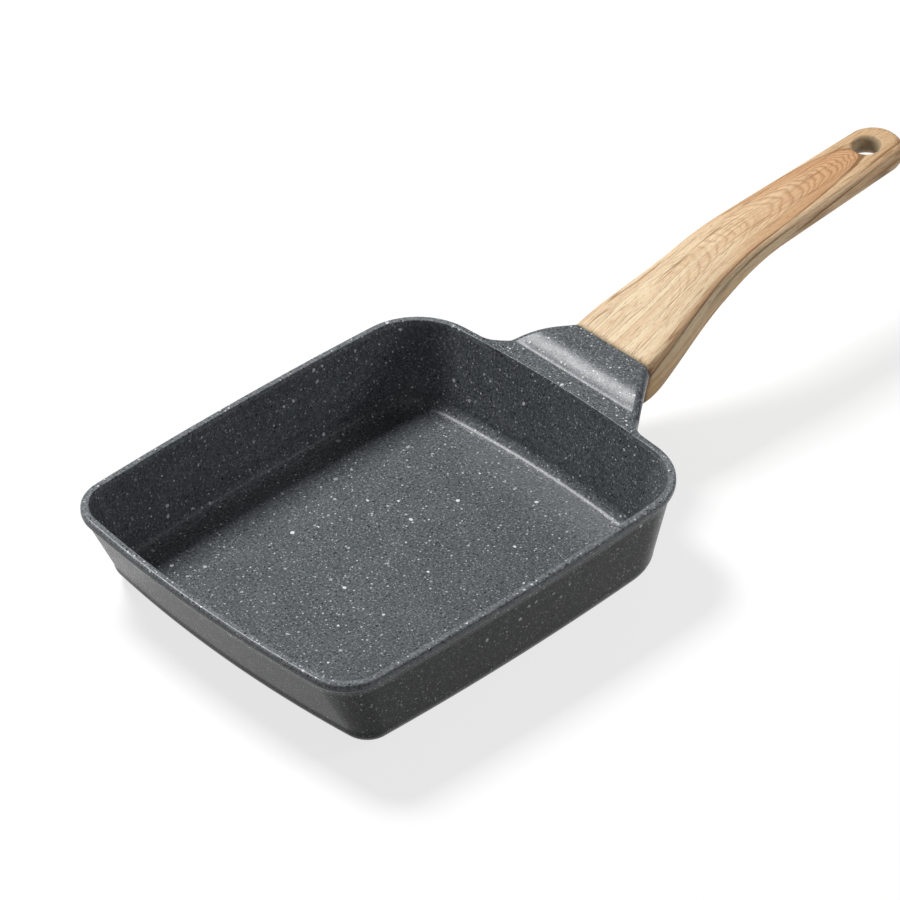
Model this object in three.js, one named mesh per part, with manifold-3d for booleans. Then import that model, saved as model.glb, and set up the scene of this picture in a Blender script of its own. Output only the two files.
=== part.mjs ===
// Rectangular omelette frying pan: a cast body with a flared collar and tang, a perforated steel disc
// pressed into its base, and a bent moulded grip that one screw holds on the tang.
// Millimetres, +Z up. The origin is on the resting plane below the middle of the rim, and +X runs out
// along the handle.
import * as THREE from 'three';
import { mergeVertices } from 'three/addons/utils/BufferGeometryUtils.js';
import Module from 'manifold-3d';

const wasm = await Module();
wasm.setup();

// Pan body: rim, walls and floor
const RIM_LENGTH = 180.5;
const RIM_WIDTH = 150.5;
const PAN_HEIGHT = 38;
const RIM_TOP = 2.8;
const RIM_EDGE_RADIUS = 0.9;
const LIP_HEIGHT = 3.2;
const LIP_OVERHANG = 1.6;
const WALL = 2.6;
const FLOOR = 4;
const FRONT_SLOPE = 12.7;
const SIDE_SLOPE = 4.5;
const REAR_SLOPE = 6.6;
const BASE_FILLET = 8;
const FRONT_FILLET_STRETCH = 1.4;
const FLOOR_FILLET = 5;
const FRONT_CORNER = 17;
const REAR_CORNER = 26;
const FRONT_BASE_CORNER = 10.5;
const REAR_BASE_CORNER = 24;
const SIDE_BOW = 2.6;
const FRONT_BOW = 5;
const REAR_BOW = 4.8;

// Collar between the rim and the handle
const COLLAR_LENGTH = 24.8;
const COLLAR_END_WIDTH = 39;
const COLLAR_END_HEIGHT = 21;
const COLLAR_RISE = 4.6;
const COLLAR_FLARE = 0.7;
const COLLAR_ROOT_DROP = 6;
const ROOT_BLEND = 4;
const RIM_BAND = 4.8;
const SCOOP_SLOPE = THREE.MathUtils.degToRad(32);
const SCOOP_FOOT = 0.8;
const SCOOP_BEND = 6.5;
const SIDE_TAPER = 2.5;
const EDGE_BREAK = 0.6;

// Tang inside the handle
const TANG_RISE = THREE.MathUtils.degToRad(18);
const TANG_LENGTH = 30;
const TANG_WIDTH = 22;
const TANG_THICKNESS = 7;
const TANG_ABOVE_MIDDLE = 2.6;

// Handle grip
const GRIP_LENGTH = 151.6;
const GRIP_FRONT_RISE = THREE.MathUtils.degToRad(18.7);
const GRIP_REAR_RISE = THREE.MathUtils.degToRad(3.5);
const GRIP_BEND = 54;
const GRIP_BEND_REACH = 16;
const HEEL_LENGTH = 6;
const UNDERSIDE_RISE = THREE.MathUtils.degToRad(26);
const UNDERSIDE_REAR_RISE = THREE.MathUtils.degToRad(4);
const UNDERSIDE_BEND = 66.1;
const UNDERSIDE_BEND_REACH = 14;
const FLARE_LENGTH = 49;
const NECK_WIDTH = 28;
const TAIL_WIDTH = 23.2;
const GRIP_CROWN = 0.8;
const TOP_RADIUS = 3;
const UNDER_RADIUS = 5;
const TAIL_RADIUS = 4.8;
const TAIL_FULLNESS = 0.8;
const HANGING_HOLE = 10.4;
const HANGING_HOLE_FROM_TAIL = 15.1;
const HOLE_TOP_ROUND = 4;
const HOLE_UNDER_ROUND = 5;

// Screw joint under the handle
const SCREW_DIAMETER = 5;
const SCREW_FROM_COLLAR = 17;
const SCREW_HEAD = 9;
const SCREW_HEAD_HEIGHT = 2.4;
const DRIVE_WIDTH = 1.3;
const DRIVE_REACH = 3;
const DRIVE_DEPTH = 1.2;
const WASHER_DIAMETER = 10;
const WASHER_THICKNESS = 0.8;
const SPRING_DIAMETER = 9;
const SPRING_THICKNESS = 1.2;
const SPRING_SLOT = 1;
const RECESS_DIAMETER = 11.5;
const RECESS_FLOOR = 2.2;

// Induction disc in the base
const DISC_DIAMETER = 108;
const DISC_THICKNESS = 0.8;
const DISC_HOLE = 4;
const DISC_RING_PITCH = 14;
const DISC_RINGS = 3;
const HOLES_PER_RING = 6;

// Clearances
const FIT = 0.3;
const SEAT = 0.3;
const CUT = 5;
const SAME_POINT = 1e-4;

// Smoothness of the facets
const SIDE_STEPS = 5;
const CORNER_STEPS = 7;
const FILLET_STEPS = 4;
const SECTION_STEPS = 4;
const COLLAR_STEPS = 20;
const GRIP_STEPS = 30;
const TAIL_STEPS = 7;
const ROUND_STEPS = 28;
const DISC_STEPS = 48;
const DISC_HOLE_STEPS = 10;

// Places worked out from the sizes above
const COLLAR_END_X = RIM_LENGTH / 2 + COLLAR_LENGTH;
const COLLAR_TOP_Z = PAN_HEIGHT + COLLAR_RISE;
const COLLAR_BOTTOM_Z = COLLAR_TOP_Z - COLLAR_END_HEIGHT;
const GRIP_START_X = COLLAR_END_X + FIT;
const SCOOP_END = RIM_BAND + COLLAR_RISE / Math.tan(SCOOP_SLOPE);
const BASE_MIDDLE_X = (FRONT_SLOPE - REAR_SLOPE) / 2;
const TANG_ROOT_Z = COLLAR_TOP_Z - COLLAR_END_HEIGHT / 2 + TANG_ABOVE_MIDDLE;
const RECESS_SEAT = TANG_THICKNESS / 2 + FIT + RECESS_FLOOR;
const EDGE_TURN = RIM_EDGE_RADIUS * (1 - Math.SQRT1_2);
const tangFrame = new THREE.Matrix4().makeRotationY(-TANG_RISE);
tangFrame.setPosition(COLLAR_END_X, 0, TANG_ROOT_Z);

// Materials
const coating = new THREE.MeshStandardMaterial({ color: 0x4a4d50, roughness: 0.45, metalness: 0.1 });
const wood = new THREE.MeshStandardMaterial({ color: 0xd3ab7c, roughness: 0.5, metalness: 0 });
const steel = new THREE.MeshStandardMaterial({ color: 0xb4b7ba, roughness: 0.35, metalness: 1 });

// Eases from 0 to 1 with level ends.
function smooth(value) {
  return THREE.MathUtils.smoothstep(value, 0, 1);
}

// Height of a line that leaves the origin at one angle and bends to another over a parabola.
function bentLine(s, firstAngle, secondAngle, bend, reach) {
  const first = Math.tan(firstAngle);
  const second = Math.tan(secondAngle);
  const into = THREE.MathUtils.clamp(s - bend + reach, 0, 2 * reach);
  const past = Math.max(s - bend - reach, 0);
  return first * s + (second - first) * (into * into / (4 * reach) + past);
}

// Points of an arc from one angle up to, but not including, another.
function arc(centre, radius, from, to, steps) {
  const points = [];
  for (let i = 0; i < steps; i += 1) {
    const angle = from + (to - from) * i / steps;
    points.push(new THREE.Vector2(Math.cos(angle), Math.sin(angle)).multiplyScalar(radius).add(centre));
  }
  return points;
}

// Centre of a corner arc: where two circles meet, on the left of the way from the first to the second.
function meeting(centreA, radiusA, centreB, radiusB) {
  const way = centreB.clone().sub(centreA);
  const gap = way.length();
  const along = (radiusA * radiusA - radiusB * radiusB + gap * gap) / (2 * gap);
  const aside = Math.sqrt(Math.max(radiusA * radiusA - along * along, 0));
  way.normalize();
  const left = new THREE.Vector2(-way.y, way.x);
  return centreA.clone().addScaledVector(way, along).addScaledVector(left, aside);
}

// Radius of the arc that bows out by a given height over half a chord.
function bowRadius(halfChord, bow) {
  return (halfChord * halfChord + bow * bow) / (2 * bow);
}

// Angle of the line from one point to another.
function heading(from, to) {
  return Math.atan2(to.y - from.y, to.x - from.x);
}

// Plan of the pan at one level: bowed sides joined by tangent corner arcs, drawn in from the rim's box.
function panOutline(front, rear, side, frontCorner, rearCorner) {
  const frontX = -RIM_LENGTH / 2 + front;
  const rearX = RIM_LENGTH / 2 - rear;
  const halfWidth = RIM_WIDTH / 2 - side;
  const sideRadius = bowRadius((rearX - frontX) / 2, SIDE_BOW);
  const frontRadius = bowRadius(halfWidth, FRONT_BOW);
  const rearRadius = bowRadius(halfWidth, REAR_BOW);
  const sideCentre = new THREE.Vector2((frontX + rearX) / 2, halfWidth - sideRadius);
  const frontCentre = new THREE.Vector2(frontX + frontRadius, 0);
  const rearCentre = new THREE.Vector2(rearX - rearRadius, 0);
  const rearTurn = meeting(rearCentre, rearRadius - rearCorner, sideCentre, sideRadius - rearCorner);
  const frontTurn = meeting(sideCentre, sideRadius - frontCorner, frontCentre, frontRadius - frontCorner);
  const rearAngle = heading(rearCentre, rearTurn);
  const sideRearAngle = heading(sideCentre, rearTurn);
  const sideFrontAngle = heading(sideCentre, frontTurn);
  const frontAngle = heading(frontCentre, frontTurn);
  const half = [
    ...arc(rearCentre, rearRadius, 0, rearAngle, SIDE_STEPS),
    ...arc(rearTurn, rearCorner, rearAngle, sideRearAngle, CORNER_STEPS),
    ...arc(sideCentre, sideRadius, sideRearAngle, sideFrontAngle, 2 * SIDE_STEPS),
    ...arc(frontTurn, frontCorner, sideFrontAngle, frontAngle, CORNER_STEPS),
    ...arc(frontCentre, frontRadius, frontAngle, Math.PI, SIDE_STEPS),
    new THREE.Vector2(frontX, 0),
  ];
  const mirrored = half.slice(1, -1).reverse().map((point) => new THREE.Vector2(point.x, -point.y));
  return half.concat(mirrored);
}

// Closed skin over rings with equal point counts, the first and last capped from their middles.
function loft(rings) {
  const count = rings[0].length;
  const points = rings.flat();
  const index = [];
  for (let k = 0; k + 1 < rings.length; k += 1) {
    for (let i = 0; i < count; i += 1) {
      const next = (i + 1) % count;
      const [a, b, c, d] = [k * count + i, k * count + next, (k + 1) * count + next, (k + 1) * count + i];
      index.push(a, b, c, a, c, d);
    }
  }
  for (const [ring, first] of [[rings[0], 0], [rings.at(-1), (rings.length - 1) * count]]) {
    const middle = ring.reduce((sum, point) => sum.add(point), new THREE.Vector3()).divideScalar(count);
    points.push(middle);
    for (let i = 0; i < count; i += 1) {
      const edge = [first + i, first + (i + 1) % count];
      index.push(points.length - 1, ...(first === 0 ? edge.reverse() : edge));
    }
  }
  const geometry = new THREE.BufferGeometry().setFromPoints(points);
  geometry.setIndex(index);
  return geometry;
}

// Solid of a closed geometry, with shared corners merged and collapsed triangles dropped.
function solidOf(geometry) {
  const bare = geometry.clone();
  bare.deleteAttribute('normal');
  bare.deleteAttribute('uv');
  const merged = mergeVertices(bare, SAME_POINT);
  const corners = [];
  for (let i = 0; i < merged.index.count; i += 3) {
    const [a, b, c] = [merged.index.getX(i), merged.index.getX(i + 1), merged.index.getX(i + 2)];
    if (a !== b && b !== c && c !== a) {
      corners.push(a, b, c);
    }
  }
  const vertProperties = new Float32Array(merged.attributes.position.array);
  const triVerts = new Uint32Array(corners);
  return new wasm.Manifold(new wasm.Mesh({ numProp: 3, vertProperties, triVerts }));
}

// Named mesh of a finished solid.
function meshOf(name, solid, material) {
  const { numProp, vertProperties, triVerts } = solid.getMesh();
  const positions = [];
  for (let i = 0; i < vertProperties.length; i += numProp) {
    positions.push(vertProperties[i], vertProperties[i + 1], vertProperties[i + 2]);
  }
  const geometry = new THREE.BufferGeometry();
  geometry.setAttribute('position', new THREE.Float32BufferAttribute(positions, 3));
  geometry.setIndex(Array.from(triVerts));
  const mesh = new THREE.Mesh(geometry, material);
  mesh.name = name;
  return mesh;
}

// Upright round bar between two heights.
function bar(diameter, bottom, top, steps = ROUND_STEPS) {
  const geometry = new THREE.CylinderGeometry(diameter / 2, diameter / 2, top - bottom, steps);
  return geometry.rotateX(Math.PI / 2).translate(0, 0, (bottom + top) / 2);
}

// Box between two corners.
function block(low, high) {
  const geometry = new THREE.BoxGeometry(high[0] - low[0], high[1] - low[1], high[2] - low[2]);
  return geometry.translate((low[0] + high[0]) / 2, (low[1] + high[1]) / 2, (low[2] + high[2]) / 2);
}

// Ring of the pan's plan at one height.
function panRing(z, front, rear, side, frontCorner, rearCorner) {
  const outline = panOutline(front, rear, side, frontCorner, rearCorner);
  return outline.map((point) => new THREE.Vector3(point.x, point.y, z));
}

// Ring drawn in from the rim by the same amount all round.
function rimRing(z, inset) {
  return panRing(z, inset, inset, inset, FRONT_CORNER - inset, REAR_CORNER - inset);
}

// Ring near the base, drawn in past the wall's slope by its thickness and by part of a fillet.
function baseRing(z, wall, fillet) {
  const inset = wall + fillet;
  const front = FRONT_SLOPE + wall + fillet * FRONT_FILLET_STRETCH;
  const frontCorner = Math.max(FRONT_BASE_CORNER - inset, EDGE_BREAK);
  const rearCorner = Math.max(REAR_BASE_CORNER - inset, EDGE_BREAK);
  return panRing(z, front, REAR_SLOPE + inset, SIDE_SLOPE + inset, frontCorner, rearCorner);
}

// Rings of a fillet that turns from a level face up into a wall, longer towards the front.
function filletRings(radius, z, wall) {
  const rings = [];
  for (let i = 0; i <= FILLET_STEPS; i += 1) {
    const angle = Math.PI / 2 * i / FILLET_STEPS;
    rings.push(baseRing(z + radius * (1 - Math.cos(angle)), wall, radius * (1 - Math.sin(angle))));
  }
  return rings;
}

// Outside of the pan as a full block: base fillet, sloping wall, lip and rounded rim edge.
function panBlock() {
  return loft([
    ...filletRings(BASE_FILLET, 0, 0),
    rimRing(PAN_HEIGHT - LIP_HEIGHT - LIP_OVERHANG, LIP_OVERHANG),
    rimRing(PAN_HEIGHT - LIP_HEIGHT, 0),
    rimRing(PAN_HEIGHT - RIM_EDGE_RADIUS, 0),
    rimRing(PAN_HEIGHT - EDGE_TURN, EDGE_TURN),
    rimRing(PAN_HEIGHT, RIM_EDGE_RADIUS),
  ]);
}

// Room inside the pan, open above the rim.
function panRoom() {
  const lipLine = RIM_TOP - RIM_EDGE_RADIUS;
  return loft([
    ...filletRings(FLOOR_FILLET, FLOOR, WALL),
    rimRing(PAN_HEIGHT - RIM_EDGE_RADIUS, RIM_TOP),
    rimRing(PAN_HEIGHT - EDGE_TURN, RIM_TOP - EDGE_TURN),
    rimRing(PAN_HEIGHT, lipLine),
    rimRing(COLLAR_TOP_Z + CUT, lipLine),
  ]);
}

// Cross-section of the collar or grip: a rounded trapezium with a crowned top, in a plane of constant x.
function section(x, { topHalf, bottomHalf, top, bottom, topRadius, bottomRadius, crown }) {
  const lean = Math.atan2(topHalf - bottomHalf, top - bottom);
  const lower = new THREE.Vector2(bottomHalf - bottomRadius, bottom + bottomRadius);
  const upper = new THREE.Vector2(topHalf - topRadius, top - topRadius);
  const half = [
    ...arc(lower, bottomRadius, -Math.PI / 2, -lean, SECTION_STEPS),
    lower.clone().add(new THREE.Vector2(Math.cos(lean), -Math.sin(lean)).multiplyScalar(bottomRadius)),
    ...arc(upper, topRadius, -lean, Math.PI / 2, SECTION_STEPS),
  ];
  for (let i = 0; i < SECTION_STEPS; i += 1) {
    const across = 1 - i / SECTION_STEPS;
    half.push(new THREE.Vector2(upper.x * across, top + crown * (1 - across * across)));
  }
  const topMiddle = new THREE.Vector2(0, top + crown);
  const left = half.map((point) => new THREE.Vector2(-point.x, point.y)).reverse();
  const ring = [...half, topMiddle, ...left, new THREE.Vector2(0, bottom)];
  return ring.map((point) => new THREE.Vector3(x, point.x, point.y));
}

// Section shrunk by the same amount all round, for a broken edge.
function shrunk(size, inset) {
  return {
    ...size,
    topHalf: size.topHalf - inset,
    bottomHalf: size.bottomHalf - inset,
    top: size.top - inset,
    bottom: size.bottom + inset,
  };
}

// Collar's section at a distance out from the rim: rim band, scooped ramp and level end, all flaring.
function collarSize(out) {
  const toEnd = COLLAR_LENGTH - out;
  const ramp = bentLine(out, 0, SCOOP_SLOPE, RIM_BAND, SCOOP_FOOT);
  const level = bentLine(out, 0, SCOOP_SLOPE, SCOOP_END, SCOOP_BEND);
  const blend = Math.max(1 - out / ROOT_BLEND, 0);
  const topHalf = COLLAR_END_WIDTH / 2 + COLLAR_FLARE * toEnd + ROOT_BLEND * blend * blend;
  return {
    topHalf,
    bottomHalf: topHalf - SIDE_TAPER,
    top: PAN_HEIGHT + ramp - level,
    bottom: COLLAR_BOTTOM_Z - COLLAR_ROOT_DROP * smooth(toEnd / COLLAR_LENGTH),
    topRadius: TOP_RADIUS * smooth(out / RIM_BAND) + EDGE_BREAK,
    bottomRadius: UNDER_RADIUS,
    crown: 0,
  };
}

// Flared collar, from inside the wall to its broken end edge.
function collar() {
  const rings = [section(RIM_LENGTH / 2 - REAR_SLOPE - FLOOR_FILLET - WALL, collarSize(0))];
  for (let i = 0; i <= COLLAR_STEPS; i += 1) {
    const out = (COLLAR_LENGTH - EDGE_BREAK) * i / COLLAR_STEPS;
    rings.push(section(RIM_LENGTH / 2 + out, collarSize(out)));
  }
  rings.push(section(COLLAR_END_X, shrunk(collarSize(COLLAR_LENGTH), EDGE_BREAK)));
  return loft(rings);
}

// Tang grown by a clearance on every side, for the tang itself and for its socket.
function tang(clearance) {
  const halfWidth = TANG_WIDTH / 2 + clearance;
  const halfThickness = TANG_THICKNESS / 2 + clearance;
  const low = [-CUT, -halfWidth, -halfThickness];
  const high = [TANG_LENGTH + clearance, halfWidth, halfThickness];
  return block(low, high).applyMatrix4(tangFrame);
}

// One casting: body, collar and tang, with the base recess and the tang's screw hole.
function panCasting() {
  const recess = bar(DISC_DIAMETER + 2 * FIT, -CUT, DISC_THICKNESS + FIT, DISC_STEPS);
  recess.translate(BASE_MIDDLE_X, 0, 0);
  const screwHole = bar(SCREW_DIAMETER + 2 * FIT, -TANG_THICKNESS, TANG_THICKNESS);
  screwHole.translate(SCREW_FROM_COLLAR, 0, 0).applyMatrix4(tangFrame);
  const body = solidOf(panBlock()).add(solidOf(collar())).subtract(solidOf(panRoom()));
  const casting = body.add(solidOf(tang(0))).subtract(solidOf(recess)).subtract(solidOf(screwHole));
  return meshOf('pan_casting', casting, coating);
}

// Perforated disc, with its centre left whole and rings of holes around it.
function inductionDisc() {
  const middle = new THREE.Vector2();
  const plate = new THREE.Shape(arc(middle, DISC_DIAMETER / 2, 0, 2 * Math.PI, DISC_STEPS));
  for (let ring = 1; ring <= DISC_RINGS; ring += 1) {
    const count = HOLES_PER_RING * ring;
    for (let i = 0; i < count; i += 1) {
      const angle = 2 * Math.PI * i / count;
      const reach = DISC_RING_PITCH * ring;
      const centre = new THREE.Vector2(Math.cos(angle), Math.sin(angle)).multiplyScalar(reach);
      plate.holes.push(new THREE.Path(arc(centre, DISC_HOLE / 2, 0, 2 * Math.PI, DISC_HOLE_STEPS)));
    }
  }
  const geometry = new THREE.ExtrudeGeometry(plate, { depth: DISC_THICKNESS, bevelEnabled: false });
  const disc = meshOf('induction_disc', solidOf(geometry), steel);
  disc.position.x = BASE_MIDDLE_X;
  return disc;
}

// Grip's section at a distance from the collar: flared front, bent and tapering back.
function gripSize(s) {
  const along = s / GRIP_LENGTH;
  const taper = Math.max(s - FLARE_LENGTH, 0) / (GRIP_LENGTH - FLARE_LENGTH);
  const flare = (COLLAR_END_WIDTH - NECK_WIDTH) * (1 - smooth(s / FLARE_LENGTH));
  const topHalf = (NECK_WIDTH + flare + (TAIL_WIDTH - NECK_WIDTH) * taper) / 2;
  const heel = bentLine(s, 0, UNDERSIDE_RISE, HEEL_LENGTH, HEEL_LENGTH);
  const flatten = bentLine(s, 0, UNDERSIDE_REAR_RISE, UNDERSIDE_BEND, UNDERSIDE_BEND_REACH);
  const steep = bentLine(s, 0, UNDERSIDE_RISE, UNDERSIDE_BEND, UNDERSIDE_BEND_REACH);
  return {
    topHalf,
    bottomHalf: topHalf - SIDE_TAPER * (1 - along),
    top: COLLAR_TOP_Z + bentLine(s, GRIP_FRONT_RISE, GRIP_REAR_RISE, GRIP_BEND, GRIP_BEND_REACH),
    bottom: COLLAR_BOTTOM_Z + heel - steep + flatten,
    topRadius: TOP_RADIUS + EDGE_BREAK + (TAIL_RADIUS - TOP_RADIUS - EDGE_BREAK) * along,
    bottomRadius: UNDER_RADIUS + (TAIL_RADIUS - UNDER_RADIUS) * along,
    crown: GRIP_CROWN * smooth(s / FLARE_LENGTH),
  };
}

// Grip's outside: sections along the bend, then the tail section swept round its end, a little fuller
// than a half circle.
function gripBlock() {
  const straight = GRIP_LENGTH - TAIL_WIDTH / 2;
  const rings = [section(GRIP_START_X, shrunk(gripSize(0), EDGE_BREAK))];
  for (let i = 0; i <= GRIP_STEPS; i += 1) {
    const s = EDGE_BREAK + (straight - EDGE_BREAK) * i / GRIP_STEPS;
    rings.push(section(GRIP_START_X + s, gripSize(s)));
  }
  const tail = rings.at(-1);
  const tailX = GRIP_START_X + straight;
  const rise = Math.tan((GRIP_REAR_RISE + UNDERSIDE_REAR_RISE) / 2);
  for (let i = 1; i <= TAIL_STEPS; i += 1) {
    const angle = Math.PI / 2 * i / TAIL_STEPS;
    const out = Math.sin(angle) ** TAIL_FULLNESS;
    const aside = Math.cos(angle) ** TAIL_FULLNESS;
    rings.push(tail.map((point) => {
      const reach = Math.abs(point.y) * out;
      return new THREE.Vector3(tailX + reach, point.y * aside, point.z + rise * reach);
    }));
  }
  return loft(rings);
}

// Profile of one mouth of the hanging hole, from the throat out over its rounding and up past the face.
function holeMouth(round, face) {
  const mouth = HANGING_HOLE / 2 + round;
  const turn = new THREE.Vector2(mouth, face - round);
  return [
    ...arc(turn, round, Math.PI, Math.PI / 2, SECTION_STEPS),
    new THREE.Vector2(mouth, face),
    new THREE.Vector2(mouth, face + CUT),
    new THREE.Vector2(0, face + CUT),
  ];
}

// Hanging hole square to the tail's top face, its mouths rounded out like the hole of a ring.
function hangingHole() {
  const s = GRIP_LENGTH - HANGING_HOLE_FROM_TAIL;
  const { top, bottom, crown } = gripSize(s);
  const half = (top + crown - bottom) / 2;
  const under = holeMouth(HOLE_UNDER_ROUND, half).map((point) => new THREE.Vector2(point.x, -point.y));
  const profile = [...under.reverse(), ...holeMouth(HOLE_TOP_ROUND, half)];
  const hole = new THREE.LatheGeometry(profile, ROUND_STEPS).rotateX(Math.PI / 2).rotateY(-GRIP_REAR_RISE);
  return hole.translate(GRIP_START_X + s, 0, (top + crown + bottom) / 2);
}

// Moulded grip, with its tang socket, screw recess and hanging hole.
function handleGrip() {
  const recess = bar(RECESS_DIAMETER, -RECESS_SEAT - COLLAR_END_HEIGHT, -RECESS_SEAT);
  const screwWay = bar(SCREW_DIAMETER + 2 * FIT, -RECESS_SEAT - FIT, 0);
  const joint = solidOf(recess).add(solidOf(screwWay)).translate([SCREW_FROM_COLLAR, 0, 0]);
  const grip = solidOf(gripBlock())
    .subtract(solidOf(tang(FIT)))
    .subtract(joint.transform(tangFrame.elements))
    .subtract(solidOf(hangingHole()));
  return meshOf('handle_grip', grip, wood);
}

// Flat ring with its upper face at a height.
function washer(diameter, thickness, top) {
  const hole = bar(SCREW_DIAMETER + 2 * FIT, top - thickness - CUT, top + CUT);
  return solidOf(bar(diameter, top - thickness, top)).subtract(solidOf(hole));
}

// Screw, split washer and flat washer, stacked down from the recess floor along the tang's normal.
function screwJoint() {
  const flatTop = -RECESS_SEAT - SEAT;
  const springTop = flatTop - WASHER_THICKNESS - SEAT;
  const headTop = springTop - SPRING_THICKNESS - SEAT;
  const flat = washer(WASHER_DIAMETER, WASHER_THICKNESS, flatTop);
  const slotLow = [0, -SPRING_SLOT / 2, springTop - SPRING_THICKNESS - CUT];
  const slot = block(slotLow, [SPRING_DIAMETER, SPRING_SLOT / 2, springTop + CUT]);
  const spring = washer(SPRING_DIAMETER, SPRING_THICKNESS, springTop).subtract(solidOf(slot));
  const headLow = headTop - SCREW_HEAD_HEIGHT;
  const head = bar(SCREW_HEAD, headLow, headTop);
  const shank = bar(SCREW_DIAMETER, headLow, TANG_THICKNESS / 2);
  const halfDrive = DRIVE_WIDTH / 2;
  const driveTop = headLow + DRIVE_DEPTH;
  const driveX = block([-DRIVE_REACH, -halfDrive, headLow - CUT], [DRIVE_REACH, halfDrive, driveTop]);
  const driveY = driveX.clone().rotateZ(Math.PI / 2);
  const drive = solidOf(driveX).add(solidOf(driveY));
  const screw = solidOf(head).add(solidOf(shank)).subtract(drive);
  const stack = new THREE.Group();
  stack.add(
    meshOf('flat_washer', flat, steel),
    meshOf('spring_washer', spring, steel),
    meshOf('handle_screw', screw, steel),
  );
  stack.position.x = SCREW_FROM_COLLAR;
  const joint = new THREE.Group();
  joint.add(stack);
  joint.applyMatrix4(tangFrame);
  return joint;
}

const pan = new THREE.Group();
pan.add(panCasting(), inductionDisc(), handleGrip(), screwJoint());

export default pan;
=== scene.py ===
"""Looks of a rectangular omelette pan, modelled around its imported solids.

The casting and the handle get smooth skins of their own, drawn ring by ring on the same plan as the solids.
The steel disc and the screw joint keep their solids and get better finishes.
Sizes of shapes are written in millimetres, and become metres where a point is laid.
"""

import logging
import math
from dataclasses import asdict, dataclass, field, fields
from enum import Enum
from typing import Callable, Optional, Sequence, Union

import bmesh
import bpy
from mathutils import Matrix, Vector


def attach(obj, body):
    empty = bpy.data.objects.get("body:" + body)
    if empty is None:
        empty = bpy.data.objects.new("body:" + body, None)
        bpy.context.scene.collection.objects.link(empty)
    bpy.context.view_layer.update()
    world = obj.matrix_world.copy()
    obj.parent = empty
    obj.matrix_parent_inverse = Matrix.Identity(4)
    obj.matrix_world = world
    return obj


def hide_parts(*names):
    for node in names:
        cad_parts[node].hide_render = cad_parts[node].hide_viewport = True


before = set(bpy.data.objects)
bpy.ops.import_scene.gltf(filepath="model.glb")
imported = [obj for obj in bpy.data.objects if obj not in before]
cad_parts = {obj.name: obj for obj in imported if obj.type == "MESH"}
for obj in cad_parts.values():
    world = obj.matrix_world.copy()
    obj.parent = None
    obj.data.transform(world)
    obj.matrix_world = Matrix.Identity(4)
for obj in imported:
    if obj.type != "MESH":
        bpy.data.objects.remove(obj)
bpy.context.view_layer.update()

LOG = logging.getLogger("pan")
MM = 0.001
ROOT_BODY = "root"
GRAIN = "grain"
BEVEL_SEGMENTS = 3
SAME_POINT = 1e-7
NOISE_MEAN = 0.5

Piece = bpy.types.Object
Socket = bpy.types.NodeSocket
Number = Union[float, Socket]
Colour = tuple[float, float, float, float]
Triple = tuple[float, float, float]


class Cut(Enum):
    """How one solid acts on another."""

    JOIN = "UNION"
    REMOVE = "DIFFERENCE"


# Small geometry


def ease(value: float) -> float:
    """Goes from 0 to 1 with level ends."""
    held = min(max(value, 0.0), 1.0)
    return held * held * (3.0 - 2.0 * held)


def mix(start: float, end: float, share: float) -> float:
    """Value part of the way from one number to another."""
    return start + (end - start) * share


def even(count: int) -> list[float]:
    """Equal shares from 0 up to, but not including, 1."""
    return [i / count for i in range(count)]


def quarter(steps: int) -> list[float]:
    """Angles of a quarter turn in equal steps, from 0 to a right angle."""
    return [math.pi / 2.0 * i / steps for i in range(steps + 1)]


def bow_radius(half_chord: float, bow: float) -> float:
    """Radius of an arc that bows out by a given amount over its chord."""
    return (half_chord**2 + bow**2) / (2.0 * bow)


def heading(start: Vector, end: Vector) -> float:
    """Angle of the way from one point to another."""
    return math.atan2(end.y - start.y, end.x - start.x)


def arc(centre: Vector, radius: float, start: float, end: float, shares: Sequence[float]) -> list[Vector]:
    """Points of an arc at given shares of its sweep.

    Args:
        centre: Middle of the arc, in its own plane.
        radius: Radius of the arc.
        start: First angle, in radians.
        end: Last angle, in radians.
        shares: Where the points lie, from 0 at the first angle to 1 at the last.

    Returns:
        The points, one for each share.
    """
    angles = [mix(start, end, share) for share in shares]
    return [centre + radius * Vector((math.cos(angle), math.sin(angle))) for angle in angles]


def bent_line(along: float, first: float, second: float, bend: float, reach: float) -> float:
    """Height of a line that leaves the origin at one angle and bends to another.

    Args:
        along: Distance from the origin.
        first: Angle before the bend, in degrees.
        second: Angle after the bend, in degrees.
        bend: Distance at which the two straights would meet.
        reach: Length of the bend's parabola on each side.

    Returns:
        The height at that distance.
    """
    rise, later = math.tan(math.radians(first)), math.tan(math.radians(second))
    into = min(max(along - bend + reach, 0.0), 2.0 * reach)
    past = max(along - bend - reach, 0.0)
    return rise * along + (later - rise) * (into * into / (4.0 * reach) + past)


def whole(half: Sequence[Vector]) -> list[Vector]:
    """Full ring from one half, mirrored across the handle's plane."""
    return [*half, *(Vector((p.x, -p.y, p.z)) for p in reversed(half[1:-1]))]


# Modelling by operators


def only(piece: Piece) -> None:
    """Selects one object alone and makes it active.

    Args:
        piece: Object to select.
    """
    bpy.ops.object.select_all(action="DESELECT")
    piece.select_set(True)
    bpy.context.view_layer.objects.active = piece


def added(operator: Callable[..., set[str]], **settings: object) -> Piece:
    """Runs an operator that adds an object, with nothing else selected.

    Args:
        operator: Operator to run.
        **settings: Its settings, by name.

    Returns:
        The object that it added.
    """
    bpy.ops.object.select_all(action="DESELECT")
    operator(**settings)
    return bpy.context.object


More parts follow.
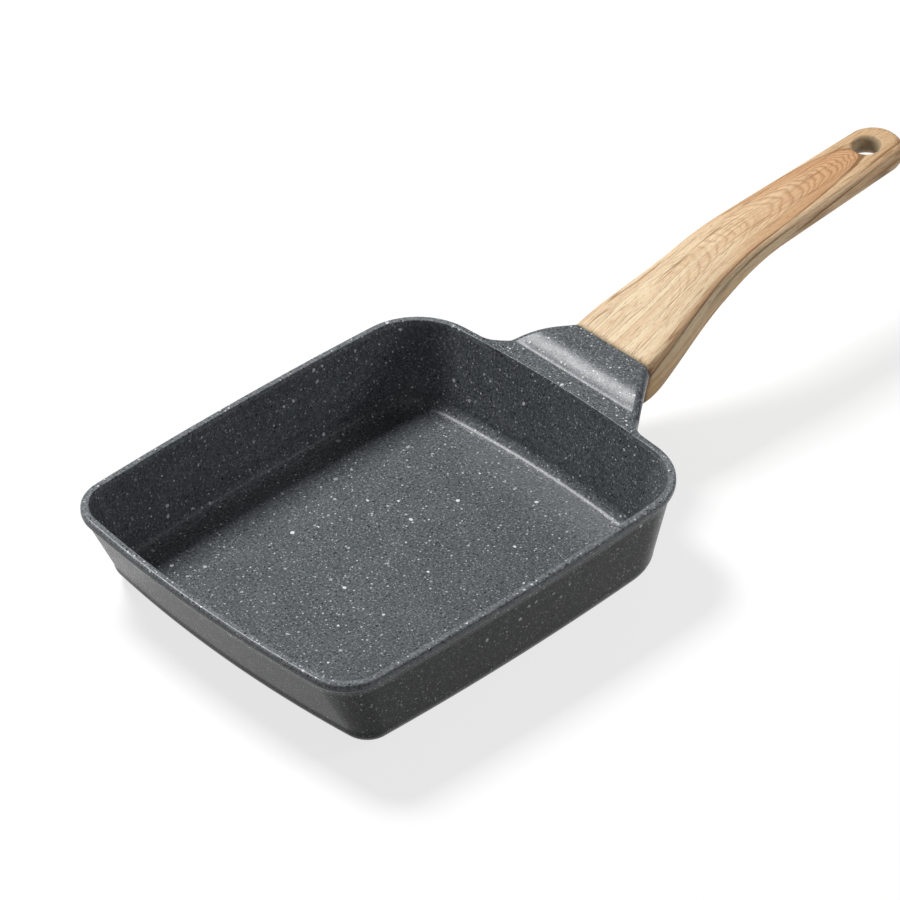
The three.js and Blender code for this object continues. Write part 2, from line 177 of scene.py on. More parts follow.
def carve(piece: Piece, tool: Piece, way: Cut) -> None:
    """Joins a tool to a piece or takes it away, and removes the tool.

    Args:
        piece: Object that is changed.
        tool: Closed object that acts on it.
        way: Whether the tool is added or taken away.
    """
    only(piece)
    modifier = piece.modifiers.new("carve", "BOOLEAN")
    modifier.operation = way.value
    modifier.solver = "EXACT"
    modifier.object = tool
    bpy.ops.object.modifier_apply(modifier=modifier.name)
    bpy.data.objects.remove(tool, do_unlink=True)


def smooth_shaded(piece: Piece, angle: float) -> None:
    """Shades a piece smooth, apart from edges sharper than an angle in degrees."""
    only(piece)
    bpy.ops.object.shade_smooth_by_angle(angle=math.radians(angle))


def coat(piece: Piece, finish: bpy.types.Material) -> None:
    """Gives a piece one finish in place of what it had."""
    piece.data.materials.clear()
    piece.data.materials.append(finish)


def box_tool(low: Vector, high: Vector, edge: float, place: Matrix) -> Piece:
    """Block with rounded edges between two corners.

    Args:
        low: Lowest corner, in millimetres, in its own frame.
        high: Highest corner.
        edge: Radius of its edges, or 0 for sharp ones.
        place: Its frame, in metres.

    Returns:
        The block, with its place in its mesh.
    """
    block = added(bpy.ops.mesh.primitive_cube_add, size=1.0)
    bpy.ops.object.mode_set(mode="EDIT")
    bpy.ops.transform.resize(value=(high - low) * MM)
    bpy.ops.transform.translate(value=(low + high) / 2.0 * MM)
    if edge:
        bpy.ops.mesh.bevel(offset=edge * MM, segments=BEVEL_SEGMENTS, affect="EDGES")
    bpy.ops.object.mode_set(mode="OBJECT")
    block.data.transform(place)
    return block


@dataclass
class RingSkin:
    """Skin drawn in edit mode, from a filled circle whose rim is extruded and laid on ring after ring."""

    name: str
    piece: Optional[Piece] = None

    def begin(self, ring: Sequence[Vector], middle: Vector) -> None:
        """Adds the first ring as a filled circle.

        Args:
            ring: Places of its rim, in millimetres.
            middle: Place of its centre.
        """
        self.piece = added(
            bpy.ops.mesh.primitive_circle_add, vertices=len(ring), radius=1.0, fill_type="TRIFAN"
        )
        self.piece.name = self.name
        self.piece.data.name = self.name
        bpy.ops.object.mode_set(mode="EDIT")
        mesh = bmesh.from_edit_mesh(self.piece.data)
        mesh.verts.ensure_lookup_table()
        mesh.verts[0].co = middle * MM
        mesh.verts[0].select = False
        mesh.select_flush_mode()
        self._lay(ring)

    def grow(self, ring: Sequence[Vector]) -> None:
        """Extrudes the open rim and lays it on the next ring."""
        bpy.ops.mesh.extrude_region()
        self._lay(ring)

    def shrink(self, share: float) -> None:
        """Extrudes the open rim and draws it in towards its middle."""
        bpy.ops.mesh.extrude_region()
        bpy.ops.transform.resize(value=(share, share, 1.0))

    def cap(self) -> None:
        """Closes the open rim on its middle."""
        bpy.ops.mesh.extrude_region()
        bpy.ops.mesh.merge(type="CENTER")

    def finish(self) -> Piece:
        """Merges what meets, turns the faces outwards and leaves edit mode.

        Returns:
            The finished skin.
        """
        bpy.ops.mesh.select_all(action="SELECT")
        bpy.ops.mesh.remove_doubles(threshold=SAME_POINT)
        bpy.ops.mesh.normals_make_consistent(inside=False)
        bpy.ops.object.mode_set(mode="OBJECT")
        return self.piece

    def _lay(self, ring: Sequence[Vector]) -> None:
        """Moves the rim's points, which are the mesh's last ones, to their places.

        Args:
            ring: Places of the rim, in millimetres.
        """
        mesh = bmesh.from_edit_mesh(self.piece.data)
        mesh.verts.ensure_lookup_table()
        for vertex, place in zip(mesh.verts[-len(ring):], ring):
            vertex.co = place * MM
        bmesh.update_edit_mesh(self.piece.data)


# Pan body


@dataclass(frozen=True)
class Level:
    """Plan of the pan at one height: how far it is drawn in from the rim's box, and its corner radii."""

    z: float
    front: float
    rear: float
    side: float
    front_corner: float
    rear_corner: float

    def towards(self, other: "Level", share: float) -> "Level":
        """Level part of the way to another."""
        return Level(*(mix(getattr(self, f.name), getattr(other, f.name), share) for f in fields(self)))


@dataclass(frozen=True)
class PanPlan:
    """Bowed rectangle with tangent corner arcs, with the same stations round it at every level."""

    length: float = 180.49
    width: float = 150.48
    side_bow: float = 2.6
    front_bow: float = 5.0
    rear_bow: float = 4.8
    end_stations: int = 10
    flare_stations: int = 14
    root_stations: int = 10
    rest_stations: int = 4
    corner_stations: int = 16
    side_stations: int = 28
    front_stations: int = 22
    end_share: float = 0.37
    flare_share: float = 0.63
    root_share: float = 0.85

    def rear_shares(self) -> list[float]:
        """Shares of the rear arc at which its stations lie, closer together behind the collar.

        Returns:
            The shares, from 0 at the arc's middle.
        """
        stops = [0.0, self.end_share, self.flare_share, self.root_share, 1.0]
        counts = [self.end_stations, self.flare_stations, self.root_stations, self.rest_stations]
        return [
            mix(first, last, share)
            for first, last, count in zip(stops, stops[1:], counts)
            for share in even(count)
        ]

    @staticmethod
    def _turn(one: Vector, one_radius: float, other: Vector, other_radius: float) -> Vector:
        """Middle of a corner arc: where two circles meet, on the left of the way between their middles.

        Args:
            one: Middle of the first circle.
            one_radius: Its radius.
            other: Middle of the second circle.
            other_radius: Its radius.

        Returns:
            The meeting point.
        """
        way = other - one
        gap = way.length
        along = (one_radius**2 - other_radius**2 + gap**2) / (2.0 * gap)
        aside = math.sqrt(max(one_radius**2 - along**2, 0.0))
        way.normalize()
        return one + way * along + Vector((-way.y, way.x)) * aside

    def half(self, level: Level) -> list[Vector]:
        """Points round one half of the plan, from the middle of the rear to the middle of the front.

        Args:
            level: Level whose plan is drawn.

        Returns:
            The points, in millimetres, at the level's height.
        """
        front_x = -self.length / 2.0 + level.front
        rear_x = self.length / 2.0 - level.rear
        half_width = self.width / 2.0 - level.side
        side_r = bow_radius((rear_x - front_x) / 2.0, self.side_bow)
        front_r = bow_radius(half_width, self.front_bow)
        rear_r = bow_radius(half_width, self.rear_bow)
        side = Vector(((front_x + rear_x) / 2.0, half_width - side_r))
        front = Vector((front_x + front_r, 0.0))
        rear = Vector((rear_x - rear_r, 0.0))
        rear_c, front_c = level.rear_corner, level.front_corner
        rear_turn = self._turn(rear, rear_r - rear_c, side, side_r - rear_c)
        front_turn = self._turn(side, side_r - front_c, front, front_r - front_c)
        rear_end, side_start = heading(rear, rear_turn), heading(side, rear_turn)
        side_end, front_start = heading(side, front_turn), heading(front, front_turn)
        corner = even(self.corner_stations)
        flat = [
            *arc(rear, rear_r, 0.0, rear_end, self.rear_shares()),
            *arc(rear_turn, rear_c, rear_end, side_start, corner),
            *arc(side, side_r, side_start, side_end, even(self.side_stations)),
            *arc(front_turn, front_c, side_end, front_start, corner),
            *arc(front, front_r, front_start, math.pi, even(self.front_stations)),
            Vector((front_x, 0.0)),
        ]
        return [Vector((point.x, point.y, level.z)) for point in flat]


@dataclass(frozen=True)
class Collar:
    """Flared and scooped collar between the rim and the handle."""

    length: float = 24.8
    end_width: float = 39.0
    end_height: float = 21.0
    rise: float = 4.6
    flare: float = 0.7
    root_drop: float = 6.0
    root_reach: float = 6.0
    rim_band: float = 4.8
    scoop_slope: float = 32.0
    scoop_foot: float = 0.8
    scoop_bend: float = 6.5
    side_taper: float = 2.5
    top_radius: float = 3.0
    under_radius: float = 5.0
    edge_break: float = 0.6
    under_steps: int = 5
    side_steps: int = 7
    top_steps: int = 10

    def top(self, out: float, rim: float) -> float:
        """Height of its top: a level band, a scooped ramp and a level end.

        Args:
            out: Distance out from the rim.
            rim: Height of the rim.

        Returns:
            The height at that distance.
        """
        level_from = self.rim_band + self.rise / math.tan(math.radians(self.scoop_slope))
        ramp = bent_line(out, 0.0, self.scoop_slope, self.rim_band, self.scoop_foot)
        return rim + ramp - bent_line(out, 0.0, self.scoop_slope, level_from, self.scoop_bend)

    def bottom(self, out: float, rim: float) -> float:
        """Height of its underside at a distance out from the rim."""
        to_end = (self.length - max(out, 0.0)) / self.length
        return rim + self.rise - self.end_height - self.root_drop * ease(to_end)

    def half_width(self, out: float) -> float:
        """Half of its width along the top at a distance out from the rim."""
        return self.end_width / 2.0 + self.flare * (self.length - out)

    def section(self, out: float, rim: float, inset: float = 0.0) -> list[Vector]:
        """Half of its cross-section, from the underside round to the top.

        Args:
            out: Distance out from the rim.
            rim: Height of the rim.
            inset: How far the section is drawn in all round, for a broken edge.

        Returns:
            Points with the sideways place as x and the height as y.
        """
        top_half = self.half_width(out) - inset
        under_half = top_half - self.side_taper
        top, under = self.top(out, rim) - inset, self.bottom(out, rim) + inset
        top_r = self.top_radius * ease(out / self.rim_band) + self.edge_break
        under_r = self.under_radius
        lean = math.atan2(self.side_taper, top - under)
        lower = Vector((under_half - under_r, under + under_r))
        upper = Vector((top_half - top_r, top - top_r))
        turn = arc(lower, under_r, -math.pi / 2.0, -lean, [*even(self.under_steps), 1.0])
        bend = arc(upper, top_r, -lean, math.pi / 2.0, [*even(self.top_steps), 1.0])
        side = [turn[-1].lerp(bend[0], share) for share in even(self.side_steps)[1:]]
        return [*turn, *side, *bend]


@dataclass
class PanBody:
    """Cast body of the pan: floor, walls, lip and collar in one skin, with a recess in its base.

    The lip's slope lists the rise and the inset of its soft underside, in shares of its overhang, from the
    wall out to its face. The floor's rings are the shares by which its last rings are drawn in.
    """

    height: float = 38.0
    rim_top: float = 2.8
    rim_edge: float = 0.4
    lip_round: float = 1.1
    lip_height: float = 3.2
    lip_overhang: float = 1.6
    lip_slope: tuple[tuple[float, float], ...] = (
        (-1.05, 0.95), (-0.7, 0.74), (-0.3, 0.42), (0.1, 0.14), (0.55, 0.0)
    )
    wall: float = 2.6
    floor: float = 4.0
    front_slope: float = 12.7
    side_slope: float = 4.5
    rear_slope: float = 6.6
    base_fillet: float = 8.0
    front_stretch: float = 1.4
    floor_fillet: float = 5.0
    floor_rings: Triple = (0.75, 0.66, 0.5)
    front_corner: float = 17.0
    rear_corner: float = 26.0
    front_base_corner: float = 10.5
    rear_base_corner: float = 24.0
    least_corner: float = 0.6
    recess_radius: float = 54.3
    recess_depth: float = 1.1
    under_web: float = 2.2
    web_fade: int = 3
    turn_share: float = 0.7
    below_lip: float = 0.2
    edge_steps: int = 4
    fillet_steps: int = 10
    low_wall_steps: int = 4
    wall_steps: int = 8
    web_steps: int = 9
    top_steps: int = 48
    sharp: float = 50.0
    plan: PanPlan = field(default_factory=PanPlan)
    collar: Collar = field(default_factory=Collar)

    @property
    def rear_edge(self) -> float:
        """Place of the rim's rear edge along the handle."""
        return self.plan.length / 2.0

    @property
    def collar_end(self) -> float:
        """Place of the collar's end along the handle."""
        return self.rear_edge + self.collar.length

    @property
    def collar_top(self) -> float:
        """Height of the collar's end face at its top."""
        return self.height + self.collar.rise

    @property
    def collar_bottom(self) -> float:
        """Height of the collar's end face at its underside."""
        return self.collar_top - self.collar.end_height

    @property
    def lip_foot(self) -> float:
        """Height at which the lip leaves the wall."""
        return self.height - self.lip_height - self.lip_overhang

    @property
    def base_middle(self) -> Vector:
        """Middle of the base."""
        return Vector(((self.front_slope - self.rear_slope) / 2.0, 0.0, 0.0))

    def rim_level(self, z: float, inset: float) -> Level:
        """Level drawn in from the rim by the same amount all round."""
        return Level(z, inset, inset, inset, self.front_corner - inset, self.rear_corner - inset)

    def base_level(self, z: float, wall: float, fillet: float) -> Level:
        """Level near the base, drawn in past the wall's slope.

        Args:
            z: Height of the level.
            wall: Thickness of the wall there, or 0 for the outside.
            fillet: How far the fillet draws it in.

        Returns:
            The level.
        """
        inset = wall + fillet
        front = self.front_slope + wall + fillet * self.front_stretch
        front_corner = max(self.front_base_corner - inset, self.least_corner)
        rear_corner = max(self.rear_base_corner - inset, self.least_corner)
        return Level(z, front, self.rear_slope + inset, self.side_slope + inset, front_corner, rear_corner)

    def fillet_levels(self, radius: float, z: float, wall: float) -> list[Level]:
        """Levels of a fillet that turns from a level face up into a wall.

        Args:
            radius: Radius of the fillet.
            z: Height of the level face.
            wall: Thickness of the wall there, or 0 for the outside.

        Returns:
            The levels, from the face up.
        """
        return [
            self.base_level(z + radius * (1.0 - math.cos(a)), wall, radius * (1.0 - math.sin(a)))
            for a in quarter(self.fillet_steps)
        ]

    def wall_level(self, z: float) -> Level:
        """Level of the outer wall between the base fillet and the lip.

        Args:
            z: Height of the level.

        Returns:
            The level.
        """
        low = self.base_level(self.base_fillet, 0.0, 0.0)
        high = self.rim_level(self.lip_foot, self.lip_overhang)
        return low.towards(high, (z - low.z) / (high.z - low.z))

    def lip_levels(self) -> list[Level]:
        """Levels of the lip, softened where it leaves the wall and along its upper edge.

        Returns:
            The levels, from the wall up to the rim's top.
        """
        low, reach = self.height - self.lip_height, self.lip_overhang
        levels = [self.rim_level(low + rise * reach, inset * reach) for rise, inset in self.lip_slope]
        levels.append(self.rim_level(self.height - self.lip_round, 0.0))
        for angle in quarter(self.edge_steps)[1:]:
            drop, inset = self.lip_round * (1.0 - math.sin(angle)), self.lip_round * (1.0 - math.cos(angle))
            levels.append(self.rim_level(self.height - drop, inset))
        return levels

    def collar_levels(self) -> list[Level]:
        """Wall levels that go with the collar's cross-section, point for point.

        Returns:
            The levels, from the collar's underside up to the rim's top.
        """
        low = self.collar.bottom(0.0, self.height)
        turn = low + self.collar.under_radius * self.turn_share
        high = self.lip_foot - self.below_lip
        under = [mix(low, turn, s) for s in even(self.collar.under_steps)]
        side = [mix(turn, high, s) for s in [*even(self.collar.side_steps), 1.0]]
        return [*(self.wall_level(z) for z in [*under, *side]), *self.lip_levels()]

    def collar_ring(self, order: int, level: Level) -> list[Vector]:
        """Half ring through the collar's side and end, and round the wall or lip elsewhere.

        Args:
            order: Which point of the collar's cross-section the ring runs through.
            level: Level of the wall that goes with it.

        Returns:
            The half ring's points.
        """
        collar, plan = self.collar, self.plan
        end_x = self.collar_end
        at_end = collar.section(collar.length, self.height, collar.edge_break)[order]
        ring = [Vector((end_x, at_end.x * share, at_end.y)) for share in even(plan.end_stations)]
        ring.append(Vector((end_x, at_end.x, at_end.y)))
        first = collar.length - collar.edge_break
        for share in even(plan.flare_stations - 1):
            out = mix(first, collar.root_reach, share)
            point = collar.section(out, self.height)[order]
            ring.append(Vector((self.rear_edge + out, point.x, point.y)))
        wall = plan.half(level)
        landing = wall[len(ring) + plan.root_stations]
        leaving = collar.section(collar.root_reach, self.height)[order]
        start = Vector((self.rear_edge + collar.root_reach, leaving.x))
        end = Vector((landing.x, landing.y))
        knee = Vector((end.x, start.y + collar.flare * (start.x - end.x)))
        for share in even(plan.root_stations):
            flat = start.lerp(knee, share).lerp(knee.lerp(end, share), share)
            out = max(flat.x - self.rear_edge, 0.0)
            height = collar.section(out, self.height)[order].y
            ring.append(Vector((flat.x, flat.y, mix(height, level.z, ease(share)))))
        return [*ring, *wall[len(ring):]]

    def collar_share(self, station: int) -> float:
        """How far a station belongs to the collar, from 1 on it to 0 along the plain wall."""
        past = station - self.plan.end_stations - self.plan.flare_stations
        return 1.0 - ease(past / self.plan.root_stations)

    def web_rings(self, edge: Sequence[Vector], low: Level) -> list[list[Vector]]:
        """Half rings of the collar's underside, from the wall out to its lower edge.

        Args:
            edge: Half ring along the lower edge.
            low: Level of the wall where the underside starts.

        Returns:
            The half rings in order.
        """
        wall = self.plan.half(low)
        reach = 1.0 - self.collar.edge_break / self.collar.length
        rings = []
        for step in range(1, self.web_steps + 1):
            share = reach * step / self.web_steps
            ring = []
            for station, (near, far) in enumerate(zip(wall, edge)):
                point = near.lerp(far, share)
                under = self.collar.bottom(point.x - self.rear_edge, self.height)
                under -= self.under_web * (1.0 - share) ** self.web_fade
                point.z = mix(point.z, under, self.collar_share(station))
                ring.append(point)
            rings.append(ring)
        return rings

    def top_rings(self, edge: Sequence[Vector], inner: Sequence[Vector]) -> list[list[Vector]]:
        """Half rings across the rim's top and the collar's scoop.

        Args:
            edge: Half ring along the outer edge.
            inner: Half ring along the inner edge.

        Returns:
            The half rings, from the outer edge to the inner one.
        """
        first = self.collar.edge_break / self.collar.length
        shares = [mix(first, 1.0, i / (self.top_steps - 1)) for i in range(self.top_steps)]
        rings = []
        for share in shares:
            ring = [far.lerp(near, share) for far, near in zip(edge, inner)]
            for point in ring:
                point.z = self.collar.top(point.x - self.rear_edge, self.height)
            rings.append(ring)
        return rings

    def inner_levels(self) -> list[Level]:
        """Levels of the inside, from the rim's inner edge down the wall to the floor.

        Returns:
            The levels, from the top down.
        """
        levels = []
        for angle in quarter(self.edge_steps)[1:]:
            drop, inset = self.rim_edge * (1.0 - math.cos(angle)), self.rim_edge * (1.0 - math.sin(angle))
            levels.append(self.rim_level(self.height - drop, self.rim_top - inset))
        fillet = self.fillet_levels(self.floor_fillet, self.floor, self.wall)
        high, low = levels[-1], fillet[-1]
        levels.extend(high.towards(low, share) for share in even(self.wall_steps)[1:])
        return [*levels, *reversed(fillet)]

    def disc_ring(self, like: Sequence[Vector], z: float) -> list[Vector]:
        """Half ring round the base recess, with its points in line with another half ring's.

        Args:
            like: The other half ring.
            z: Height of the ring.

        Returns:
            The half ring's points.
        """
        middle = self.base_middle
        ring = []
        for point in like:
            way = Vector((point.x - middle.x, point.y, 0.0)).normalized()
            ring.append(middle + way * self.recess_radius + Vector((0.0, 0.0, z)))
        return ring

    def build(self) -> Piece:
        """Draws the skin from the base recess up the outside, over the rim and down to the floor.

        Returns:
            The finished body.
        """
        base = self.fillet_levels(self.base_fillet, 0.0, 0.0)
        levels = self.collar_levels()
        web_low = self.wall_level(levels[0].z - self.under_web)
        rise = [base[-1].towards(web_low, share) for share in even(self.low_wall_steps)[1:]]
        flat = self.plan.half(base[0])
        skin = RingSkin("pan_body")
        roof = Vector((0.0, 0.0, self.recess_depth))
        skin.begin(whole(self.disc_ring(flat, self.recess_depth)), self.base_middle + roof)
        skin.grow(whole(self.disc_ring(flat, 0.0)))
        for level in [*base, *rise, web_low]:
            skin.grow(whole(self.plan.half(level)))
        rings = [self.collar_ring(order, level) for order, level in enumerate(levels)]
        inner = self.plan.half(self.rim_level(self.height, self.rim_top - self.rim_edge))
        for ring in [*self.web_rings(rings[0], web_low), *rings, *self.top_rings(rings[-1], inner)]:
            skin.grow(whole(ring))
        for level in self.inner_levels():
            skin.grow(whole(self.plan.half(level)))
        for share in self.floor_rings:
            skin.shrink(share)
        skin.cap()
        return skin.finish()


# Handle grip


@dataclass(frozen=True)
class Tang:
    """Cast tongue inside the handle, which the screw pulls up against."""

    root_x: float
    root_z: float
    rise: float = 18.0
    length: float = 30.0
    width: float = 22.0
    thickness: float = 7.0
    overlap: float = 5.0
    edge: float = 0.8
    screw_from_root: float = 17.0
    screw_hole: float = 5.6
    round_steps: int = 48

    @property
    def place(self) -> Matrix:
        """Frame of the tang, in metres, with x along it."""
        turn = Matrix.Rotation(-math.radians(self.rise), 4, "Y")
        return Matrix.Translation(Vector((self.root_x, 0.0, self.root_z)) * MM) @ turn

    def block(self, clearance: float, edge: float) -> Piece:
        """Tang grown by a clearance on every side, for itself and for its socket.

        Args:
            clearance: How far it is grown.
            edge: Radius of its edges.

        Returns:
            The block.
        """
        half, thick = self.width / 2.0 + clearance, self.thickness / 2.0 + clearance
        low = Vector((-self.overlap, -half, -thick))
        high = Vector((self.length + clearance, half, thick))
        return box_tool(low, high, edge, self.place)

    def drill(self, diameter: float, low: float, high: float) -> Piece:
        """Round tool square to the tang at the screw's place.

        Args:
            diameter: Its diameter.
            low: Its lower end, measured from the tang's middle.
            high: Its upper end.

        Returns:
            The tool.
        """
        tool = added(
            bpy.ops.mesh.primitive_cylinder_add,
            vertices=self.round_steps, radius=diameter / 2.0 * MM, depth=(high - low) * MM,
            location=(self.screw_from_root * MM, 0.0, (low + high) / 2.0 * MM),
        )
        bpy.ops.object.transform_apply(location=True)
        tool.data.transform(self.place)
        return tool


@dataclass
class HandleGrip:
    """One-piece bent grip: flared where it meets the collar, round at its tail, with a hanging hole."""

    start_x: float
    top_z: float
    bottom_z: float
    tang: Tang
    length: float = 151.6
    front_rise: float = 18.7
    rear_rise: float = 3.5
    bend: float = 54.0
    bend_reach: float = 16.0
    heel: float = 6.0
    under_rise: float = 26.0
    under_rear_rise: float = 4.0
    under_bend: float = 66.1
    under_reach: float = 14.0
    flare_length: float = 49.0
    front_width: float = 39.0
    neck_width: float = 28.0
    tail_width: float = 23.2
    crown: float = 0.8
    side_taper: float = 2.5
    top_radius: float = 3.0
    under_radius: float = 5.0
    tail_radius: float = 4.8
    edge_break: float = 0.6
    hole: float = 9.6
    hole_from_tail: float = 15.1
    hole_top_round: float = 3.0
    hole_under_round: float = 6.2
    fit: float = 0.3
    recess: float = 11.5
    recess_seat: float = 6.0
    tool_reach: float = 25.0
    along_steps: int = 96
    tail_steps: int = 18
    arc_steps: int = 8
    flat_steps: int = 6
    crown_steps: int = 10
    hole_steps: int = 64
    sharp: float = 60.0

    def top(self, along: float) -> float:
        """Height of the top's edge at a distance from the collar."""
        return self.top_z + bent_line(along, self.front_rise, self.rear_rise, self.bend, self.bend_reach)

    def bottom(self, along: float) -> float:
        """Height of the underside.

        Args:
            along: Distance from the collar.

        Returns:
            The height at that distance.
        """
        heel = bent_line(along, 0.0, self.under_rise, self.heel, self.heel)
        steep = bent_line(along, 0.0, self.under_rise, self.under_bend, self.under_reach)
        gentle = bent_line(along, 0.0, self.under_rear_rise, self.under_bend, self.under_reach)
        return self.bottom_z + heel - steep + gentle

    def half_width(self, along: float) -> float:
        """Half of the width along the top's edge.

        Args:
            along: Distance from the collar.

        Returns:
            The half width at that distance.
        """
        taper = max(along - self.flare_length, 0.0) / (self.length - self.flare_length)
        flare = (self.front_width - self.neck_width) * (1.0 - ease(along / self.flare_length))
        return (self.neck_width + flare + (self.tail_width - self.neck_width) * taper) / 2.0

    def section(self, along: float, inset: float = 0.0) -> list[Vector]:
        """Cross-section at a distance from the collar, as a full ring.

        Args:
            along: Distance from the collar.
            inset: How far it is drawn in all round, for a broken edge.

        Returns:
            The ring's points, starting at the middle of the underside.
        """
        share = along / self.length
        top, under = self.top(along) - inset, self.bottom(along) + inset
        top_half = self.half_width(along) - inset
        under_half = top_half - self.side_taper * (1.0 - share)
        top_r = mix(self.top_radius + self.edge_break, self.tail_radius, share)
        under_r = mix(self.under_radius, self.tail_radius, share)
        lean = math.atan2(top_half - under_half, top - under)
        lower = Vector((under_half - under_r, under + under_r))
        upper = Vector((top_half - top_r, top - top_r))
        rise = self.crown * ease(along / self.flare_length)
        slope = math.atan2(2.0 * rise, upper.x)
        turn = arc(lower, under_r, -math.pi / 2.0, -lean, [*even(self.arc_steps), 1.0])
        bend = arc(upper, top_r, -lean, math.pi / 2.0 - slope, [*even(self.arc_steps), 1.0])
        edge = bend[-1]
        flat = [Vector((lower.x * s, under)) for s in even(self.flat_steps)]
        side = [turn[-1].lerp(bend[0], s) for s in even(self.flat_steps)[1:]]
        crown = [
            Vector((edge.x * (1.0 - s), edge.y + rise * (1.0 - (1.0 - s) ** 2)))
            for s in [*even(self.crown_steps)[1:], 1.0]
        ]
        half = [*flat, *turn, *side, *bend, *crown]
        return whole([Vector((self.start_x + along, p.x, p.y)) for p in half])

    def tail_rings(self, tail: Sequence[Vector]) -> list[list[Vector]]:
        """Rings that sweep the last section round the end of the handle.

        Args:
            tail: Ring of the last section.

        Returns:
            The rings in order.
        """
        rise = math.tan(math.radians((self.rear_rise + self.under_rear_rise) / 2.0))
        rings = []
        for angle in quarter(self.tail_steps)[1:]:
            turn, draw = math.sin(angle), math.cos(angle)
            rings.append([
                Vector((p.x + abs(p.y) * turn, p.y * draw, p.z + rise * abs(p.y) * turn)) for p in tail
            ])
        return rings

    def mouth(self, rounding: float, face: float) -> list[tuple[float, float]]:
        """Profile of one mouth of the hole, from the throat out over its rounding and past the face.

        Args:
            rounding: Radius of the rounding.
            face: Height of the face above the middle of the hole.

        Returns:
            Pairs of the distance from the hole's axis and the height.
        """
        radius = self.hole / 2.0
        flare = [
            (radius + rounding * (1.0 - math.cos(a)), face - rounding * (1.0 - math.sin(a)))
            for a in quarter(self.arc_steps)
        ]
        return [*flare, (radius + 2.0 * rounding, face + rounding)]

    def hole_tool(self) -> Piece:
        """Round tool for the hanging hole, flared at both mouths so that their edges come out rounded.

        Returns:
            The tool.
        """
        along = self.length - self.hole_from_tail
        high, low = self.top(along) + self.crown, self.bottom(along)
        half = (high - low) / 2.0
        under = [(reach, -height) for reach, height in self.mouth(self.hole_under_round, half)]
        profile = [*reversed(under), *self.mouth(self.hole_top_round, half)]
        turn = Matrix.Rotation(-math.radians(self.rear_rise), 4, "Y")
        middle = Vector((self.start_x + along, 0.0, (high + low) / 2.0))

        def ring(reach: float, height: float) -> list[Vector]:
            """Ring of the tool at one height along the hole."""
            ways = [2.0 * math.pi * share for share in even(self.hole_steps)]
            return [turn @ Vector((reach * math.cos(w), reach * math.sin(w), height)) + middle for w in ways]

        skin = RingSkin("hole_tool")
        skin.begin(ring(*profile[0]), turn @ Vector((0.0, 0.0, profile[0][1])) + middle)
        for reach, height in profile[1:]:
            skin.grow(ring(reach, height))
        skin.cap()
        return skin.finish()

    def build(self) -> Piece:
        """Draws the grip from the collar to its tail, then cuts its socket, screw recess and hanging hole.

        Returns:
            The finished grip.
        """
        straight = self.length - self.tail_width / 2.0
        skin = RingSkin("handle_wood")
        middle = Vector((self.start_x, 0.0, (self.top_z + self.bottom_z) / 2.0))
        skin.begin(self.section(0.0, self.edge_break), middle)
        for step in range(self.along_steps + 1):
            skin.grow(self.section(mix(self.edge_break, straight, step / self.along_steps)))
        for ring in self.tail_rings(self.section(straight)):
            skin.grow(ring)
        grip = skin.finish()
        carve(grip, self.tang.block(self.fit, 0.0), Cut.REMOVE)
        carve(grip, self.tang.drill(self.recess, -self.tool_reach, -self.recess_seat), Cut.REMOVE)
        carve(grip, self.tang.drill(self.tang.screw_hole, -self.recess_seat - self.fit, 0.0), Cut.REMOVE)
        carve(grip, self.hole_tool(), Cut.REMOVE)
        smooth_shaded(grip, self.sharp)
        self.mark_grain(grip)
        return grip

    def mark_grain(self, grip: Piece) -> None:
        """Stores each point's place along, across and above the bent handle, for a grain that follows it.

        The place across is measured against the width there, so that the grain fans out with the flare.

        Args:
            grip: The finished grip.
        """
        places = grip.data.attributes.new(GRAIN, "FLOAT_VECTOR", "POINT")
        for vertex, place in zip(grip.data.vertices, places.data):
            along = vertex.co.x / MM - self.start_x
            held = min(max(along, 0.0), self.length)
            fan = self.neck_width / 2.0 / self.half_width(held)
            place.vector = (along * MM, vertex.co.y * fan, vertex.co.z - self.top(held) * MM)


# Laying of nodes


@dataclass(frozen=True)
class Ramp:
    """Smooth step between two limits, with the value that it has at each."""

    low: Number
    high: Number
    first: Number = 0.0
    last: Number = 1.0


@dataclass(frozen=True)
class Relief:
    """Depth of a fine relief, in metres, and how strongly it shows."""

    distance: float
    strength: float


